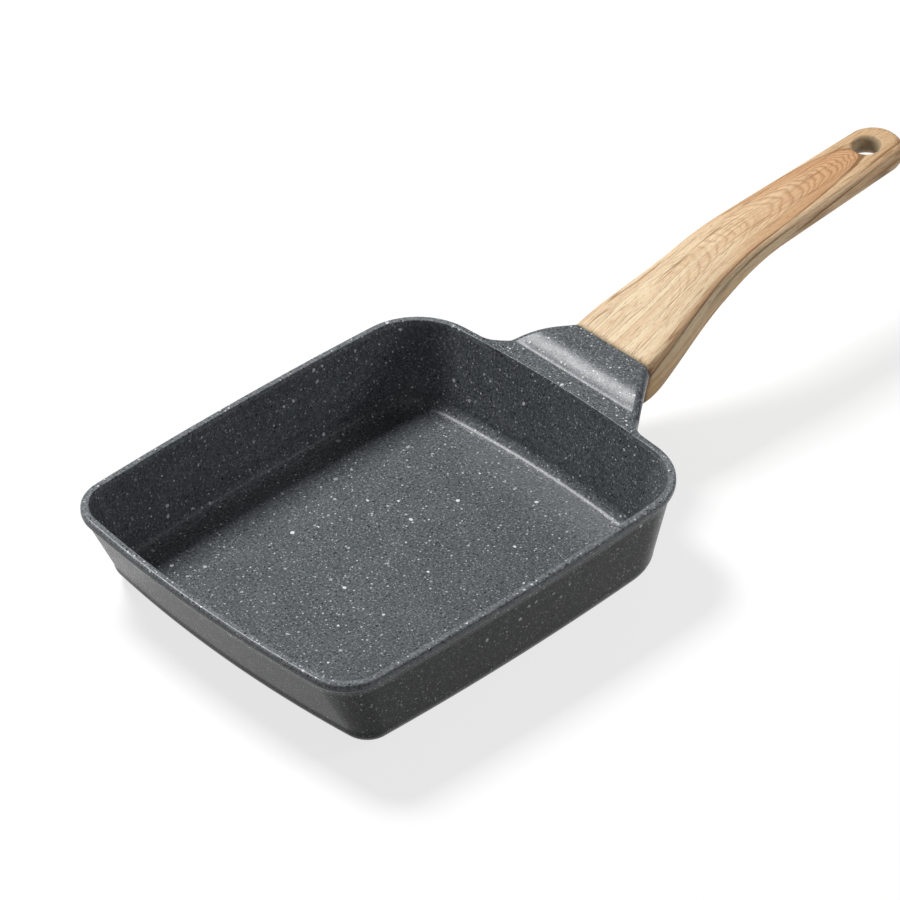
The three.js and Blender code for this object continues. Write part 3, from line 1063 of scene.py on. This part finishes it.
@dataclass
class Tree:
    """Short hand for laying and joining nodes."""

    nodes: bpy.types.Nodes
    links: bpy.types.NodeLinks

    def add(self, kind: str, *values: object, **settings: object) -> bpy.types.Node:
        """Adds a node.

        Args:
            kind: Type of the node.
            *values: Values or sockets for its first inputs, in order.
            **settings: Its properties, by name.

        Returns:
            The node.
        """
        node = self.nodes.new(kind)
        for name, setting in settings.items():
            setattr(node, name, setting)
        for socket, value in zip(node.inputs, values):
            self.put(socket, value)
        return node

    def put(self, socket: Socket, value: object) -> None:
        """Joins a socket to another, or sets its own value.

        Args:
            socket: Input to fill.
            value: Socket that feeds it, or the value that it gets.
        """
        if isinstance(value, Socket):
            self.links.new(value, socket)
        else:
            socket.default_value = value

    def fill(self, node: bpy.types.Node, values: dict[str, object]) -> bpy.types.Node:
        """Fills inputs of a node by name.

        Args:
            node: Node to fill.
            values: Value or socket for each input.

        Returns:
            The same node.
        """
        for name, value in values.items():
            self.put(node.inputs[name], value)
        return node

    def maths(self, operation: str, *values: Number, clamp: bool = False) -> Socket:
        """Result of a Math node."""
        return self.add("ShaderNodeMath", *values, operation=operation, use_clamp=clamp).outputs[0]

    def product(self, first: Number, *others: Number) -> Number:
        """Product of several numbers.

        Args:
            first: First number.
            *others: The numbers that it is multiplied by.

        Returns:
            The product.
        """
        result = first
        for other in others:
            result = self.maths("MULTIPLY", result, other)
        return result

    def vector(self, operation: str, *values: object) -> Socket:
        """Vector that a Vector Math node gives."""
        return self.add("ShaderNodeVectorMath", *values, operation=operation).outputs["Vector"]

    def measure(self, operation: str, *values: object) -> Socket:
        """Number that a Vector Math node gives, such as a length."""
        return self.add("ShaderNodeVectorMath", *values, operation=operation).outputs["Value"]

    def split(self, vector: Socket) -> Sequence[Socket]:
        """The three numbers of a vector."""
        return self.add("ShaderNodeSeparateXYZ", vector).outputs

    def join(self, *values: Number) -> Socket:
        """Vector of up to three numbers, with 0 for the others."""
        return self.add("ShaderNodeCombineXYZ", *values).outputs[0]

    def step(self, value: Number, ramp: Ramp) -> Socket:
        """Smooth step of a value along a ramp."""
        limits = (value, ramp.low, ramp.high, ramp.first, ramp.last)
        return self.add("ShaderNodeMapRange", *limits, interpolation_type="SMOOTHSTEP").outputs[0]

    def crest(self, turn: Number, rise: float, peak: float) -> Number:
        """Ridge in each turn of a wave, which swells from its rise to its peak and ends with the turn."""
        return self.product(self.step(turn, Ramp(rise, peak)), self.step(turn, Ramp(peak, 1.0, 1.0, 0.0)))

    def blend(self, share: Number, first: object, second: object, mode: str = "MIX") -> Socket:
        """Mix of two colours.

        Args:
            share: Share of the second colour.
            first: First colour.
            second: Second colour.
            mode: How the second colour acts on the first.

        Returns:
            The mixed colour.
        """
        node = self.add("ShaderNodeMix", share, data_type="RGBA", blend_type=mode)
        _, first_colour, second_colour = (s for s in node.inputs if s.enabled)
        self.put(first_colour, first)
        self.put(second_colour, second)
        return next(s for s in node.outputs if s.enabled)

    def noise(self, vector: object, scale: Number, detail: float = 2.0, rough: float = 0.5) -> Socket:
        """Value of a Noise Texture."""
        values = {"Vector": vector, "Scale": scale, "Detail": detail, "Roughness": rough}
        return self.fill(self.add("ShaderNodeTexNoise"), values).outputs[0]

    def bump(self, height: Socket, relief: Relief) -> Socket:
        """Normal of a Bump node."""
        values = {"Strength": relief.strength, "Distance": relief.distance, "Height": height}
        return self.fill(self.add("ShaderNodeBump"), values).outputs[0]

    def place(self) -> Socket:
        """Place on the piece, in metres."""
        return self.add("ShaderNodeTexCoord").outputs["Object"]


def new_material(name: str) -> tuple[bpy.types.Material, Tree, bpy.types.Node]:
    """New material with a Principled shader joined to its output.

    Args:
        name: Name of the material.

    Returns:
        The material, a tree to lay its nodes in, and the shader.
    """
    material = bpy.data.materials.new(name)
    material.use_nodes = True
    tree = Tree(material.node_tree.nodes, material.node_tree.links)
    return material, tree, tree.nodes["Principled BSDF"]


# Shared effects


class SocketKind(Enum):
    """Kinds of sockets that the groups have."""

    FLOAT = "NodeSocketFloat"
    VECTOR = "NodeSocketVector"


@dataclass(frozen=True)
class Specks:
    """One scatter of specks: its cells to the metre, how many hold a speck, and its sizes in cells."""

    scale: float
    share: float
    size: float
    edge: float
    shift: Triple = (0.0, 0.0, 0.0)


@dataclass(frozen=True)
class Mottle:
    """One soft variation: its waves to the metre, and the limits that it varies between."""

    scale: float
    low: float = 0.0
    high: float = 1.0
    shift: Triple = (0.0, 0.0, 0.0)


def group_tree(name: str, inputs: Sequence[str], output: str) -> tuple[bpy.types.NodeTree, Tree]:
    """Empty shader node group, with coordinates and named numbers as inputs and one number as output.

    Args:
        name: Name of the group.
        inputs: Names of the numbers that it is given.
        output: Name of the number that it puts out.

    Returns:
        The group, and a tree to lay its nodes in.
    """
    group = bpy.data.node_groups.new(name, "ShaderNodeTree")
    group.interface.new_socket("Vector", in_out="INPUT", socket_type=SocketKind.VECTOR.value)
    for socket in inputs:
        group.interface.new_socket(socket, in_out="INPUT", socket_type=SocketKind.FLOAT.value)
    group.interface.new_socket(output, in_out="OUTPUT", socket_type=SocketKind.FLOAT.value)
    return group, Tree(group.nodes, group.links)


def speck_group(
    warp_scale: float = 2.3, warp_reach: float = 0.3, least_size: float = 0.3, least_tone: float = 0.4
) -> bpy.types.NodeTree:
    """Group that scatters specks of mixed sizes and tones: its mask is 0 between them.

    Args:
        warp_scale: Waves to a cell of the noise that makes the specks uneven.
        warp_reach: How far that noise shifts their outlines, in cells.
        least_size: Smallest speck, as a share of the largest.
        least_tone: Faintest speck, as a share of the strongest.

    Returns:
        The group.
    """
    group, tree = group_tree("Specks", ("Scale", "Share", "Size", "Edge"), "Mask")
    given = tree.add("NodeGroupInput").outputs
    warp = tree.add("ShaderNodeTexNoise")
    tree.fill(warp, {"Vector": given["Vector"], "Scale": tree.product(given["Scale"], warp_scale)})
    shift = tree.vector("SUBTRACT", warp.outputs["Color"], (NOISE_MEAN,) * 3)
    shift = tree.vector("MULTIPLY", shift, tree.maths("DIVIDE", warp_reach, given["Scale"]))
    cells = tree.add("ShaderNodeTexVoronoi", voronoi_dimensions="3D", feature="F1")
    tree.fill(cells, {"Vector": tree.vector("ADD", given["Vector"], shift), "Scale": given["Scale"]})
    lot, size, tone = tree.add("ShaderNodeSeparateColor", cells.outputs["Color"]).outputs
    kept = tree.maths("LESS_THAN", lot, given["Share"])
    radius = tree.product(given["Size"], tree.maths("MULTIPLY_ADD", size, 1.0 - least_size, least_size))
    inner, outer = tree.maths("SUBTRACT", radius, given["Edge"]), tree.maths("ADD", radius, given["Edge"])
    disc = tree.step(cells.outputs["Distance"], Ramp(inner, outer, 1.0, 0.0))
    mask = tree.product(kept, disc, tree.maths("MULTIPLY_ADD", tone, 1.0 - least_tone, least_tone))
    tree.add("NodeGroupOutput", mask)
    return group


def mottle_group(
    detail: float = 4.0, rough: float = 0.6, least: float = 0.3, most: float = 0.7
) -> bpy.types.NodeTree:
    """Group that varies a value softly between two limits over a surface.

    Args:
        detail: Detail of the noise behind it.
        rough: How strong that detail is.
        least: Noise that gives the lower limit.
        most: Noise that gives the upper limit.

    Returns:
        The group.
    """
    group, tree = group_tree("Mottle", ("Scale", "Low", "High"), "Value")
    given = tree.add("NodeGroupInput").outputs
    cloud = tree.noise(given["Vector"], given["Scale"], detail, rough)
    tree.add("NodeGroupOutput", tree.step(cloud, Ramp(least, most, given["Low"], given["High"])))
    return group


@dataclass(frozen=True)
class Effects:
    """Node groups that the finishes share."""

    specks: bpy.types.NodeTree
    mottle: bpy.types.NodeTree

    def lay(self, tree: Tree, layer: Union[Specks, Mottle], vector: Socket) -> Socket:
        """Places a group in a material with its own values.

        Args:
            tree: Tree of the material.
            layer: What the group is to show.
            vector: Coordinates that it reads.

        Returns:
            The group's output.
        """
        group = self.specks if isinstance(layer, Specks) else self.mottle
        values = asdict(layer)
        values["vector"] = tree.vector("ADD", vector, values.pop("shift"))
        node = tree.add("ShaderNodeGroup", node_tree=group)
        return tree.fill(node, {name.title(): value for name, value in values.items()}).outputs[0]


# Finishes


@dataclass(frozen=True)
class StoneCoating:
    """Satin non-stick coating, dark grey with pale and black specks. Its heights are in metres."""

    base: Colour = (0.13, 0.143, 0.153, 1.0)
    shade: Colour = (0.111, 0.123, 0.132, 1.0)
    pale: Colour = (0.86, 0.88, 0.89, 1.0)
    dim: Colour = (0.42, 0.435, 0.445, 1.0)
    black: Colour = (0.012, 0.014, 0.016, 1.0)
    # Paler colour painted on the rim's top and upper lip as a highlight.
    rim_highlight: Colour = (0.18, 0.195, 0.207, 1.0)
    outside: Colour = (0.076, 0.078, 0.079, 1.0)
    above_lip: Ramp = Ramp(0.0358, 0.0362)
    below_collar: Ramp = Ramp(0.0382, 0.0384, 1.0, 0.0)
    before_collar: Ramp = Ramp(0.086, 0.0864, 1.0, 0.0)
    below_lip: Ramp = Ramp(0.0338, 0.0348, 1.0, 0.0)
    facing_out: Ramp = Ramp(0.02, 0.05)
    sheen: Ramp = Ramp(0.0, 1.0, 0.18, 0.1)
    large_specks: Specks = Specks(250.0, 0.28, 0.2, 0.03)
    middle_specks: Specks = Specks(600.0, 0.46, 0.25, 0.05, (0.31, 0.17, 0.23))
    fine_specks: Specks = Specks(1100.0, 0.85, 0.36, 0.08, (0.57, 0.43, 0.61))
    dark_specks: Specks = Specks(750.0, 0.75, 0.33, 0.08, (0.31, 0.17, 0.23))
    cloud: Mottle = Mottle(60.0)
    grain: Mottle = Mottle(1000.0, 0.6, 1.4, (0.57, 0.43, 0.61))
    rough: Mottle = Mottle(400.0, 0.25, 0.3)
    relief_scale: float = 1300.0
    relief: Relief = Relief(0.00006, 0.4)

    def on_rim(self, tree: Tree, place: Socket) -> Socket:
        """Mask of the rim's top and upper lip, where a paler colour is painted in as a highlight.

        Args:
            tree: Tree of the material.
            place: Place on the casting.

        Returns:
            The mask.
        """
        along, _, height = tree.split(place)
        band = tree.product(tree.step(height, self.above_lip), tree.step(height, self.below_collar))
        return tree.product(band, tree.step(along, self.before_collar))

    def on_outside(self, tree: Tree, place: Socket) -> Socket:
        """Mask of the faces below the lip that look away from the middle of the pan.

        Args:
            tree: Tree of the material.
            place: Place on the casting.

        Returns:
            The mask.
        """
        level = tree.vector("MULTIPLY", place, (1.0, 1.0, 0.0))
        away = tree.measure("DOT_PRODUCT", level, tree.add("ShaderNodeTexCoord").outputs["Normal"])
        height = tree.split(place)[2]
        return tree.product(tree.step(away, self.facing_out), tree.step(height, self.below_lip))

    def build(self, effects: Effects) -> bpy.types.Material:
        """Lays the coating's nodes.

        Args:
            effects: Groups that the finishes share.

        Returns:
            The material.
        """
        material, tree, shader = new_material("stone_coating")
        place = tree.place()
        outside = self.on_outside(tree, place)
        colour = tree.blend(effects.lay(tree, self.cloud, place), self.base, self.shade)
        colour = tree.blend(outside, colour, self.outside)
        # Painted highlight: the rim's top and upper lip are lightened to stand in for the light they catch.
        colour = tree.blend(self.on_rim(tree, place), colour, self.rim_highlight)
        colour = tree.blend(1.0, colour, effects.lay(tree, self.grain, place), "MULTIPLY")
        scatters = (
            (self.dark_specks, self.black),
            (self.fine_specks, self.dim),
            (self.middle_specks, self.pale),
            (self.large_specks, self.pale),
        )
        for specks, paint in scatters:
            colour = tree.blend(effects.lay(tree, specks, place), colour, paint)
        tree.fill(shader, {
            "Base Color": colour,
            "Roughness": effects.lay(tree, self.rough, place),
            "Specular IOR Level": tree.step(outside, self.sheen),
            "Normal": tree.bump(tree.noise(place, self.relief_scale), self.relief),
        })
        return material


@dataclass(frozen=True)
class Fibre:
    """Noise drawn out along the wood: its waves to the millimetre along and across the grain."""

    lengthways: float
    crossways: float
    detail: float = 3.0
    rough: float = 0.6


@dataclass(frozen=True)
class Grain:
    """Place on the grip, in millimetres along it, across it and above its top, as nodes."""

    tree: Tree
    place: Socket
    along: Socket
    across: Socket
    above: Socket

    @classmethod
    def read(cls, tree: Tree, vector: Socket) -> "Grain":
        """Grain from the grip's own attribute, which is in metres."""
        place = tree.vector("MULTIPLY", vector, (1.0 / MM,) * 3)
        return cls(tree, place, *tree.split(place))

    def fibre(self, fibre: Fibre) -> Socket:
        """Noise drawn out along the grain."""
        stretch = (fibre.lengthways, fibre.crossways, fibre.crossways)
        return self.tree.noise(
            self.tree.vector("MULTIPLY", self.place, stretch), 1.0, fibre.detail, fibre.rough
        )

    def patches(self, fibre: Fibre, ramp: Ramp) -> Socket:
        """Mask where a drawn-out noise is strong."""
        return self.tree.step(self.fibre(fibre), ramp)

    def turn(self, height: Socket, length: float) -> Socket:
        """How far through its turn each place of an evenly repeated figure is."""
        return self.tree.maths("FRACT", self.tree.maths("DIVIDE", height, length))


@dataclass(frozen=True)
class WoodPrint:
    """Satin wood-look skin of the grip: pale straight grain, with arches that redden towards the hole.

    Its lengths are in millimetres. A crest gives the share of a turn where a line begins to rise, and the
    share where it is darkest.
    """

    pale: Colour = (0.94, 0.755, 0.5, 1.0)
    # Painted light: a warmer, more saturated colour for the grip's sides, standing in for how the light
    # falls on them.
    tan: Colour = (0.86, 0.625, 0.39, 1.0)
    painted_side_light: Colour = (0.93, 0.63, 0.32, 1.0)
    tail: Colour = (0.6, 0.4, 0.22, 1.0)
    red: Colour = (0.66, 0.34, 0.16, 1.0)
    ring: Colour = (0.46, 0.225, 0.1, 1.0)
    line: Colour = (0.36, 0.185, 0.085, 1.0)
    streak: Colour = (0.24, 0.13, 0.06, 1.0)
    bare: Colour = (0.36, 0.3, 0.2, 1.0)
    wave: Fibre = Fibre(0.02, 0.06)
    wave_reach: float = 18.0
    wander: Fibre = Fibre(0.12, 0.25)
    wander_reach: float = 3.0
    arch: float = 0.054
    arch_close: float = 0.00184
    arch_aside: float = 1.0
    arch_end: float = 126.0
    end_blur: float = 0.4
    end_line: Ramp = Ramp(0.4, 2.2, 0.8, 0.0)
    side_pull: float = 6.0
    rings: float = 18.0
    ring_crowding: float = 3.0
    ring_crest: tuple[float, float] = (0.3, 0.8)
    ring_middle: Ramp = Ramp(8.0, 12.0, 1.0, 0.3)
    ring_depth: Ramp = Ramp(60.0, 126.0, 0.12, 0.85)
    thin_ring: float = 4.6
    thin_crest: tuple[float, float] = (0.45, 0.85)
    thin_from: Ramp = Ramp(18.0, 36.0)
    thin_to: Ramp = Ramp(80.0, 105.0, 1.0, 0.0)
    thin_fibre: Fibre = Fibre(0.06, 0.25)
    thin_depth: Ramp = Ramp(0.38, 0.6, 0.1, 0.42)
    outer_ring: float = 45.0
    outer_crest: tuple[float, float] = (0.5, 0.9)
    outer_above: Ramp = Ramp(-11.0, -5.0)
    outer_fibre: Fibre = Fibre(0.02, 0.4)
    outer_depth: Ramp = Ramp(0.36, 0.56, 0.25, 0.9)
    vein_fibre: Fibre = Fibre(0.012, 0.3, 2.0)
    vein_line: Ramp = Ramp(0.004, 0.026, 0.75, 0.0)
    vein_breaks: Fibre = Fibre(0.03, 0.5)
    vein_kept: Ramp = Ramp(0.38, 0.56)
    hole_along: float = 136.5
    hole_fan: float = 1.17
    hole_edge: Ramp = Ramp(5.0, 6.2, 0.8, 0.0)
    warm_wave: float = 60.0
    warm_from: Ramp = Ramp(50.0, 150.0)
    flank_below: Ramp = Ramp(-9.0, -3.0, 0.8, 0.0)
    tail_from: Ramp = Ramp(112.0, 138.0, 0.0, 0.55)
    red_from: Ramp = Ramp(70.0, 122.0, 0.0, 0.6)
    band_fibre: Fibre = Fibre(0.014, 0.3)
    band_depth: Ramp = Ramp(0.45, 0.62, 0.0, 0.3)
    long_fibre: Fibre = Fibre(0.05, 1.6, 4.0)
    long_depth: Ramp = Ramp(0.48, 0.68, 0.0, 0.3)
    pore_fibre: Fibre = Fibre(0.35, 2.6)
    pore_depth: Ramp = Ramp(0.53, 0.66, 0.0, 0.45)
    rough: Mottle = Mottle(300.0, 0.42, 0.55)
    specular: float = 0.15
    relief: Relief = Relief(0.00008, 0.4)

    def arch_height(self, grain: Grain, aside: Socket, wave: Socket) -> Socket:
        """How far along the handle the arch through each place has its top.

        Args:
            grain: Place on the grip.
            aside: Distance from the arches' middle line.
            wave: Broad noise that bends the arches.

        Returns:
            The distance, in millimetres.
        """
        tree = grain.tree
        square = tree.product(aside, aside)
        bow = tree.product(square, tree.maths("MULTIPLY_ADD", square, self.arch_close, self.arch))
        along = tree.maths("ADD", grain.along, bow)
        height = tree.maths("MULTIPLY_ADD", grain.above, -self.side_pull, along)
        for noise, reach in ((wave, self.wave_reach), (grain.fibre(self.wander), self.wander_reach)):
            height = tree.maths("MULTIPLY_ADD", tree.maths("SUBTRACT", noise, NOISE_MEAN), reach, height)
        return height

    def ring_lines(self, grain: Grain, aside: Socket, height: Socket) -> Number:
        """Mask of the broad arches, which crowd together and deepen towards the hole.

        Args:
            grain: Place on the grip.
            aside: Distance from the arches' middle line.
            height: Height up the arches.

        Returns:
            The mask.
        """
        tree = grain.tree
        reach = tree.maths("MAXIMUM", tree.maths("DIVIDE", height, self.arch_end), 0.0)
        turns = tree.product(tree.maths("POWER", reach, self.ring_crowding), self.rings)
        lines = tree.crest(tree.maths("FRACT", turns), *self.ring_crest)
        middle = tree.step(tree.maths("ABSOLUTE", aside), self.ring_middle)
        return tree.product(lines, middle, tree.step(height, self.ring_depth))

    def thin_lines(self, grain: Grain, height: Socket) -> Number:
        """Mask of the thin arches in the pale wood.

        Args:
            grain: Place on the grip.
            height: Height up the arches.

        Returns:
            The mask.
        """
        tree = grain.tree
        lines = tree.crest(grain.turn(height, self.thin_ring), *self.thin_crest)
        stretch = tree.product(tree.step(height, self.thin_from), tree.step(height, self.thin_to))
        return tree.product(lines, stretch, grain.patches(self.thin_fibre, self.thin_depth))

    def outer_lines(self, grain: Grain, height: Socket) -> Number:
        """Mask of the dark streaks beside the arches, on the upper part of the grip.

        Args:
            grain: Place on the grip.
            height: Height up the arches.

        Returns:
            The mask.
        """
        tree = grain.tree
        lines = tree.crest(grain.turn(height, self.outer_ring), *self.outer_crest)
        upper = tree.step(grain.above, self.outer_above)
        return tree.product(lines, upper, grain.patches(self.outer_fibre, self.outer_depth))

    def veins(self, grain: Grain) -> Number:
        """Mask of the thin, broken veins along the grain.

        Args:
            grain: Place on the grip.

        Returns:
            The mask.
        """
        tree = grain.tree
        off = tree.maths("ABSOLUTE", tree.maths("SUBTRACT", grain.fibre(self.vein_fibre), NOISE_MEAN))
        return tree.product(tree.step(off, self.vein_line), grain.patches(self.vein_breaks, self.vein_kept))

    def in_hole(self, grain: Grain) -> Socket:
        """Mask of the bare wall of the hanging hole.

        Args:
            grain: Place on the grip.

        Returns:
            The mask.
        """
        tree = grain.tree
        along = tree.maths("SUBTRACT", grain.along, self.hole_along)
        across = tree.maths("DIVIDE", grain.across, self.hole_fan)
        return tree.step(tree.measure("LENGTH", tree.join(along, across)), self.hole_edge)

    def build(self, effects: Effects) -> bpy.types.Material:
        """Lays the wood's nodes.

        Args:
            effects: Groups that the finishes share.

        Returns:
            The material.
        """
        material, tree, shader = new_material("wood_print")
        vector = tree.add("ShaderNodeAttribute", attribute_name=GRAIN).outputs["Vector"]
        grain = Grain.read(tree, vector)
        wave, long_fibre = grain.fibre(self.wave), grain.fibre(self.long_fibre)
        aside = tree.maths("SUBTRACT", grain.across, self.arch_aside)
        height = self.arch_height(grain, aside, wave)
        low, high = self.arch_end - self.end_blur, self.arch_end + self.end_blur
        inside = tree.step(height, Ramp(low, high, 1.0, 0.0))
        outside = tree.maths("SUBTRACT", 1.0, inside)
        from_end = tree.maths("ABSOLUTE", tree.maths("SUBTRACT", height, self.arch_end))
        warmth = tree.maths("MULTIPLY_ADD", wave, self.warm_wave, grain.along)
        layers = (
            (tree.step(warmth, self.warm_from), self.tan),
            # Painted light: the sides below the top edge take their own warmer colour for the light that
            # falls on them.
            (tree.step(grain.above, self.flank_below), self.painted_side_light),
            (tree.product(outside, tree.step(grain.along, self.tail_from)), self.tail),
            (tree.product(inside, tree.step(height, self.red_from)), self.red),
            (grain.patches(self.band_fibre, self.band_depth), self.red),
            (tree.product(inside, self.ring_lines(grain, aside, height)), self.ring),
            (self.thin_lines(grain, height), self.ring),
            (self.veins(grain), self.line),
            (tree.step(from_end, self.end_line), self.line),
            (tree.product(outside, self.outer_lines(grain, height)), self.streak),
            (tree.step(long_fibre, self.long_depth), self.line),
            (grain.patches(self.pore_fibre, self.pore_depth), self.line),
            (self.in_hole(grain), self.bare),
        )
        colour = self.pale
        for mask, paint in layers:
            colour = tree.blend(mask, colour, paint)
        tree.fill(shader, {
            "Base Color": colour,
            "Roughness": effects.lay(tree, self.rough, vector),
            "Specular IOR Level": self.specular,
            "Normal": tree.bump(long_fibre, self.relief),
        })
        return material


@dataclass(frozen=True)
class BrushedSteel:
    """Steel disc of the base, turned in fine rings about its middle."""

    middle: Triple
    colour: Colour = (0.56, 0.56, 0.57, 1.0)
    shade: Colour = (0.42, 0.42, 0.43, 1.0)
    ring_scale: float = 2600.0
    ring_detail: float = 3.0
    rough: Mottle = Mottle(90.0, 0.3, 0.45)
    relief: Relief = Relief(0.00003, 0.6)

    def build(self, effects: Effects) -> bpy.types.Material:
        """Lays the steel's nodes.

        Args:
            effects: Groups that the finishes share.

        Returns:
            The material.
        """
        material, tree, shader = new_material("brushed_steel")
        place = tree.place()
        radius = tree.measure("LENGTH", tree.vector("SUBTRACT", place, self.middle))
        rings = tree.noise(tree.join(radius), self.ring_scale, self.ring_detail)
        tree.fill(shader, {
            "Base Color": tree.blend(rings, self.shade, self.colour),
            "Roughness": effects.lay(tree, self.rough, place),
            "Metallic": 1.0,
            "Normal": tree.bump(rings, self.relief),
        })
        return material


@dataclass(frozen=True)
class ZincPlate:
    """Zinc plate on the screw and washers, faintly blotched."""

    colour: Colour = (0.62, 0.63, 0.64, 1.0)
    shade: Colour = (0.44, 0.45, 0.46, 1.0)
    blotch: Mottle = Mottle(700.0)
    rough: Mottle = Mottle(1500.0, 0.24, 0.4)

    def build(self, effects: Effects) -> bpy.types.Material:
        """Lays the plate's nodes.

        Args:
            effects: Groups that the finishes share.

        Returns:
            The material.
        """
        material, tree, shader = new_material("zinc_plate")
        place = tree.place()
        tree.fill(shader, {
            "Base Color": tree.blend(effects.lay(tree, self.blotch, place), self.shade, self.colour),
            "Roughness": effects.lay(tree, self.rough, place),
            "Metallic": 1.0,
        })
        return material


# Studio


@dataclass(frozen=True)
class Softbox:
    """Square area lamp that faces a place on the pan."""

    name: str
    target: Triple
    way: Triple
    distance: float
    size: float
    power: float

    def build(self) -> None:
        """Hangs the lamp and turns it to its target."""
        back = Vector(self.way).normalized()
        place = Vector(self.target) + back * self.distance
        lamp = added(bpy.ops.object.light_add, type="AREA", location=place)
        lamp.name = self.name
        lamp.rotation_euler = back.to_track_quat("Z", "Y").to_euler()
        lamp.data.shape = "SQUARE"
        lamp.data.size = self.size
        lamp.data.energy = self.power


@dataclass
class Studio:
    """White floor, soft lamps and the camera of the photograph."""

    eye: Triple = (-0.90555, -0.9767, 1.0976)
    heading: float = 46.15
    pitch: float = 38.04
    lens: float = 192.2
    sensor: float = 36.0
    clip_end: float = 50.0
    floor_size: float = 12.0
    floor_drop: float = 0.0002
    floor_colour: Colour = (0.3, 0.3, 0.3, 1.0)
    floor_glow: float = 0.75
    sky_colour: Colour = (1.0, 1.0, 1.0, 1.0)
    sky: float = 0.08
    lamps: tuple[Softbox, ...] = (
        Softbox("lamp_back", (0.06, 0.0, 0.02), (-0.06, 0.57, 0.82), 1.6, 0.44, 26.0),
        Softbox("lamp_fill", (0.06, 0.0, 0.02), (-0.6, -0.62, 0.5), 1.6, 0.8, 1.15),
        Softbox("lamp_side", (0.19, 0.0, 0.05), (0.5, -0.75, 0.43), 0.42, 0.12, 0.47),
    )

    def build_camera(self) -> None:
        """Sets the camera at the photograph's place and angle."""
        turn = (math.radians(90.0 - self.pitch), 0.0, math.radians(self.heading - 90.0))
        camera = added(bpy.ops.object.camera_add, location=self.eye, rotation=turn)
        camera.name = "camera"
        camera.data.lens = self.lens
        camera.data.sensor_width = self.sensor
        camera.data.clip_end = self.clip_end
        bpy.context.scene.camera = camera

    @staticmethod
    def _seen(tree: Tree) -> Socket:
        """1 for rays from the camera, reflections and glass, and 0 for light that falls on things.

        Args:
            tree: Tree of the material.

        Returns:
            The mask.
        """
        path = tree.add("ShaderNodeLightPath").outputs
        seen = tree.maths("ADD", path["Is Camera Ray"], path["Is Glossy Ray"], clamp=True)
        return tree.maths("ADD", seen, path["Is Transmission Ray"], clamp=True)

    def build_floor(self) -> None:
        """Lays the white floor, which keeps the pan's shadow."""
        place = (0.0, 0.0, -self.floor_drop)
        floor = added(bpy.ops.mesh.primitive_plane_add, size=self.floor_size, location=place)
        floor.name = "floor"
        bpy.ops.object.transform_apply(location=True)
        material, tree, shader = new_material("floor_white")
        tree.nodes.remove(shader)
        paint = tree.fill(tree.add("ShaderNodeBsdfDiffuse"), {"Color": self.floor_colour})
        strength = tree.product(self._seen(tree), self.floor_glow)
        glow = tree.fill(tree.add("ShaderNodeEmission"), {"Strength": strength})
        both = tree.add("ShaderNodeAddShader", paint.outputs[0], glow.outputs[0])
        tree.fill(tree.nodes["Material Output"], {"Surface": both.outputs[0]})
        floor.data.materials.append(material)

    def build_sky(self) -> None:
        """Fills the dark studio with a little even light."""
        world = bpy.data.worlds.new("studio_sky")
        world.use_nodes = True
        bpy.context.scene.world = world
        sky = world.node_tree.nodes["Background"]
        sky.inputs["Color"].default_value = self.sky_colour
        sky.inputs["Strength"].default_value = self.sky

    def build(self) -> None:
        """Sets up camera, floor, sky and lamps, and the plain view."""
        self.build_camera()
        self.build_floor()
        self.build_sky()
        for lamp in self.lamps:
            lamp.build()
        bpy.context.scene.view_settings.view_transform = "Standard"


# Assembly


@dataclass
class Pan:
    """The whole pan: its skins, its steel pieces and their finishes."""

    body: PanBody = field(default_factory=PanBody)
    grip_gap: float = 0.3
    tang_above_middle: float = 2.6

    def __post_init__(self) -> None:
        """Fits the grip and the tang to the collar's end."""
        end, top, bottom = self.body.collar_end, self.body.collar_top, self.body.collar_bottom
        tang = Tang(end, (top + bottom) / 2.0 + self.tang_above_middle)
        self.grip = HandleGrip(end + self.grip_gap, top, bottom, tang)

    def build_body(self, finish: bpy.types.Material) -> None:
        """Makes the casting, joins its tang and puts it in place of its solid.

        Args:
            finish: Finish of the casting.
        """
        piece = self.body.build()
        tang = self.grip.tang
        carve(piece, tang.block(0.0, tang.edge), Cut.JOIN)
        carve(piece, tang.drill(tang.screw_hole, -tang.thickness, tang.thickness), Cut.REMOVE)
        smooth_shaded(piece, self.body.sharp)
        self.dress(piece, finish, "pan_casting", "stone_coating")

    def build_grip(self, finish: bpy.types.Material) -> None:
        """Makes the grip and puts it in place of its solid."""
        self.dress(self.grip.build(), finish, "handle_grip", "wood_look_grip")

    @staticmethod
    def dress(piece: Piece, finish: bpy.types.Material, node: str, slot: str) -> None:
        """Gives a new piece its finish and its body, and hides the solid that it stands for.

        Args:
            piece: The new piece.
            finish: Its finish.
            node: Solid that it stands for.
            slot: Material slot of that solid. It is not used.
        """
        coat(piece, finish)
        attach(piece, ROOT_BODY)
        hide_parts(node)
        LOG.info("%s stands for %s, with %d faces", piece.name, node, len(piece.data.polygons))

    @staticmethod
    def finish_solid(node: str, finish: bpy.types.Material) -> None:
        """Gives a solid that stays a better finish."""
        coat(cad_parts[node], finish)
        LOG.info("%s keeps its solid", node)


def main() -> None:
    """Builds the studio and the pan."""
    logging.basicConfig(level=logging.INFO, format="%(message)s")
    Studio().build()
    effects = Effects(speck_group(), mottle_group())
    pan = Pan()
    pan.build_body(StoneCoating().build(effects))
    pan.build_grip(WoodPrint().build(effects))
    middle = tuple(pan.body.base_middle * MM)
    pan.finish_solid("induction_disc", BrushedSteel(middle).build(effects))
    plate = ZincPlate().build(effects)
    for node in ("handle_screw", "spring_washer", "flat_washer"):
        pan.finish_solid(node, plate)


if __name__ == "__main__":
    main()
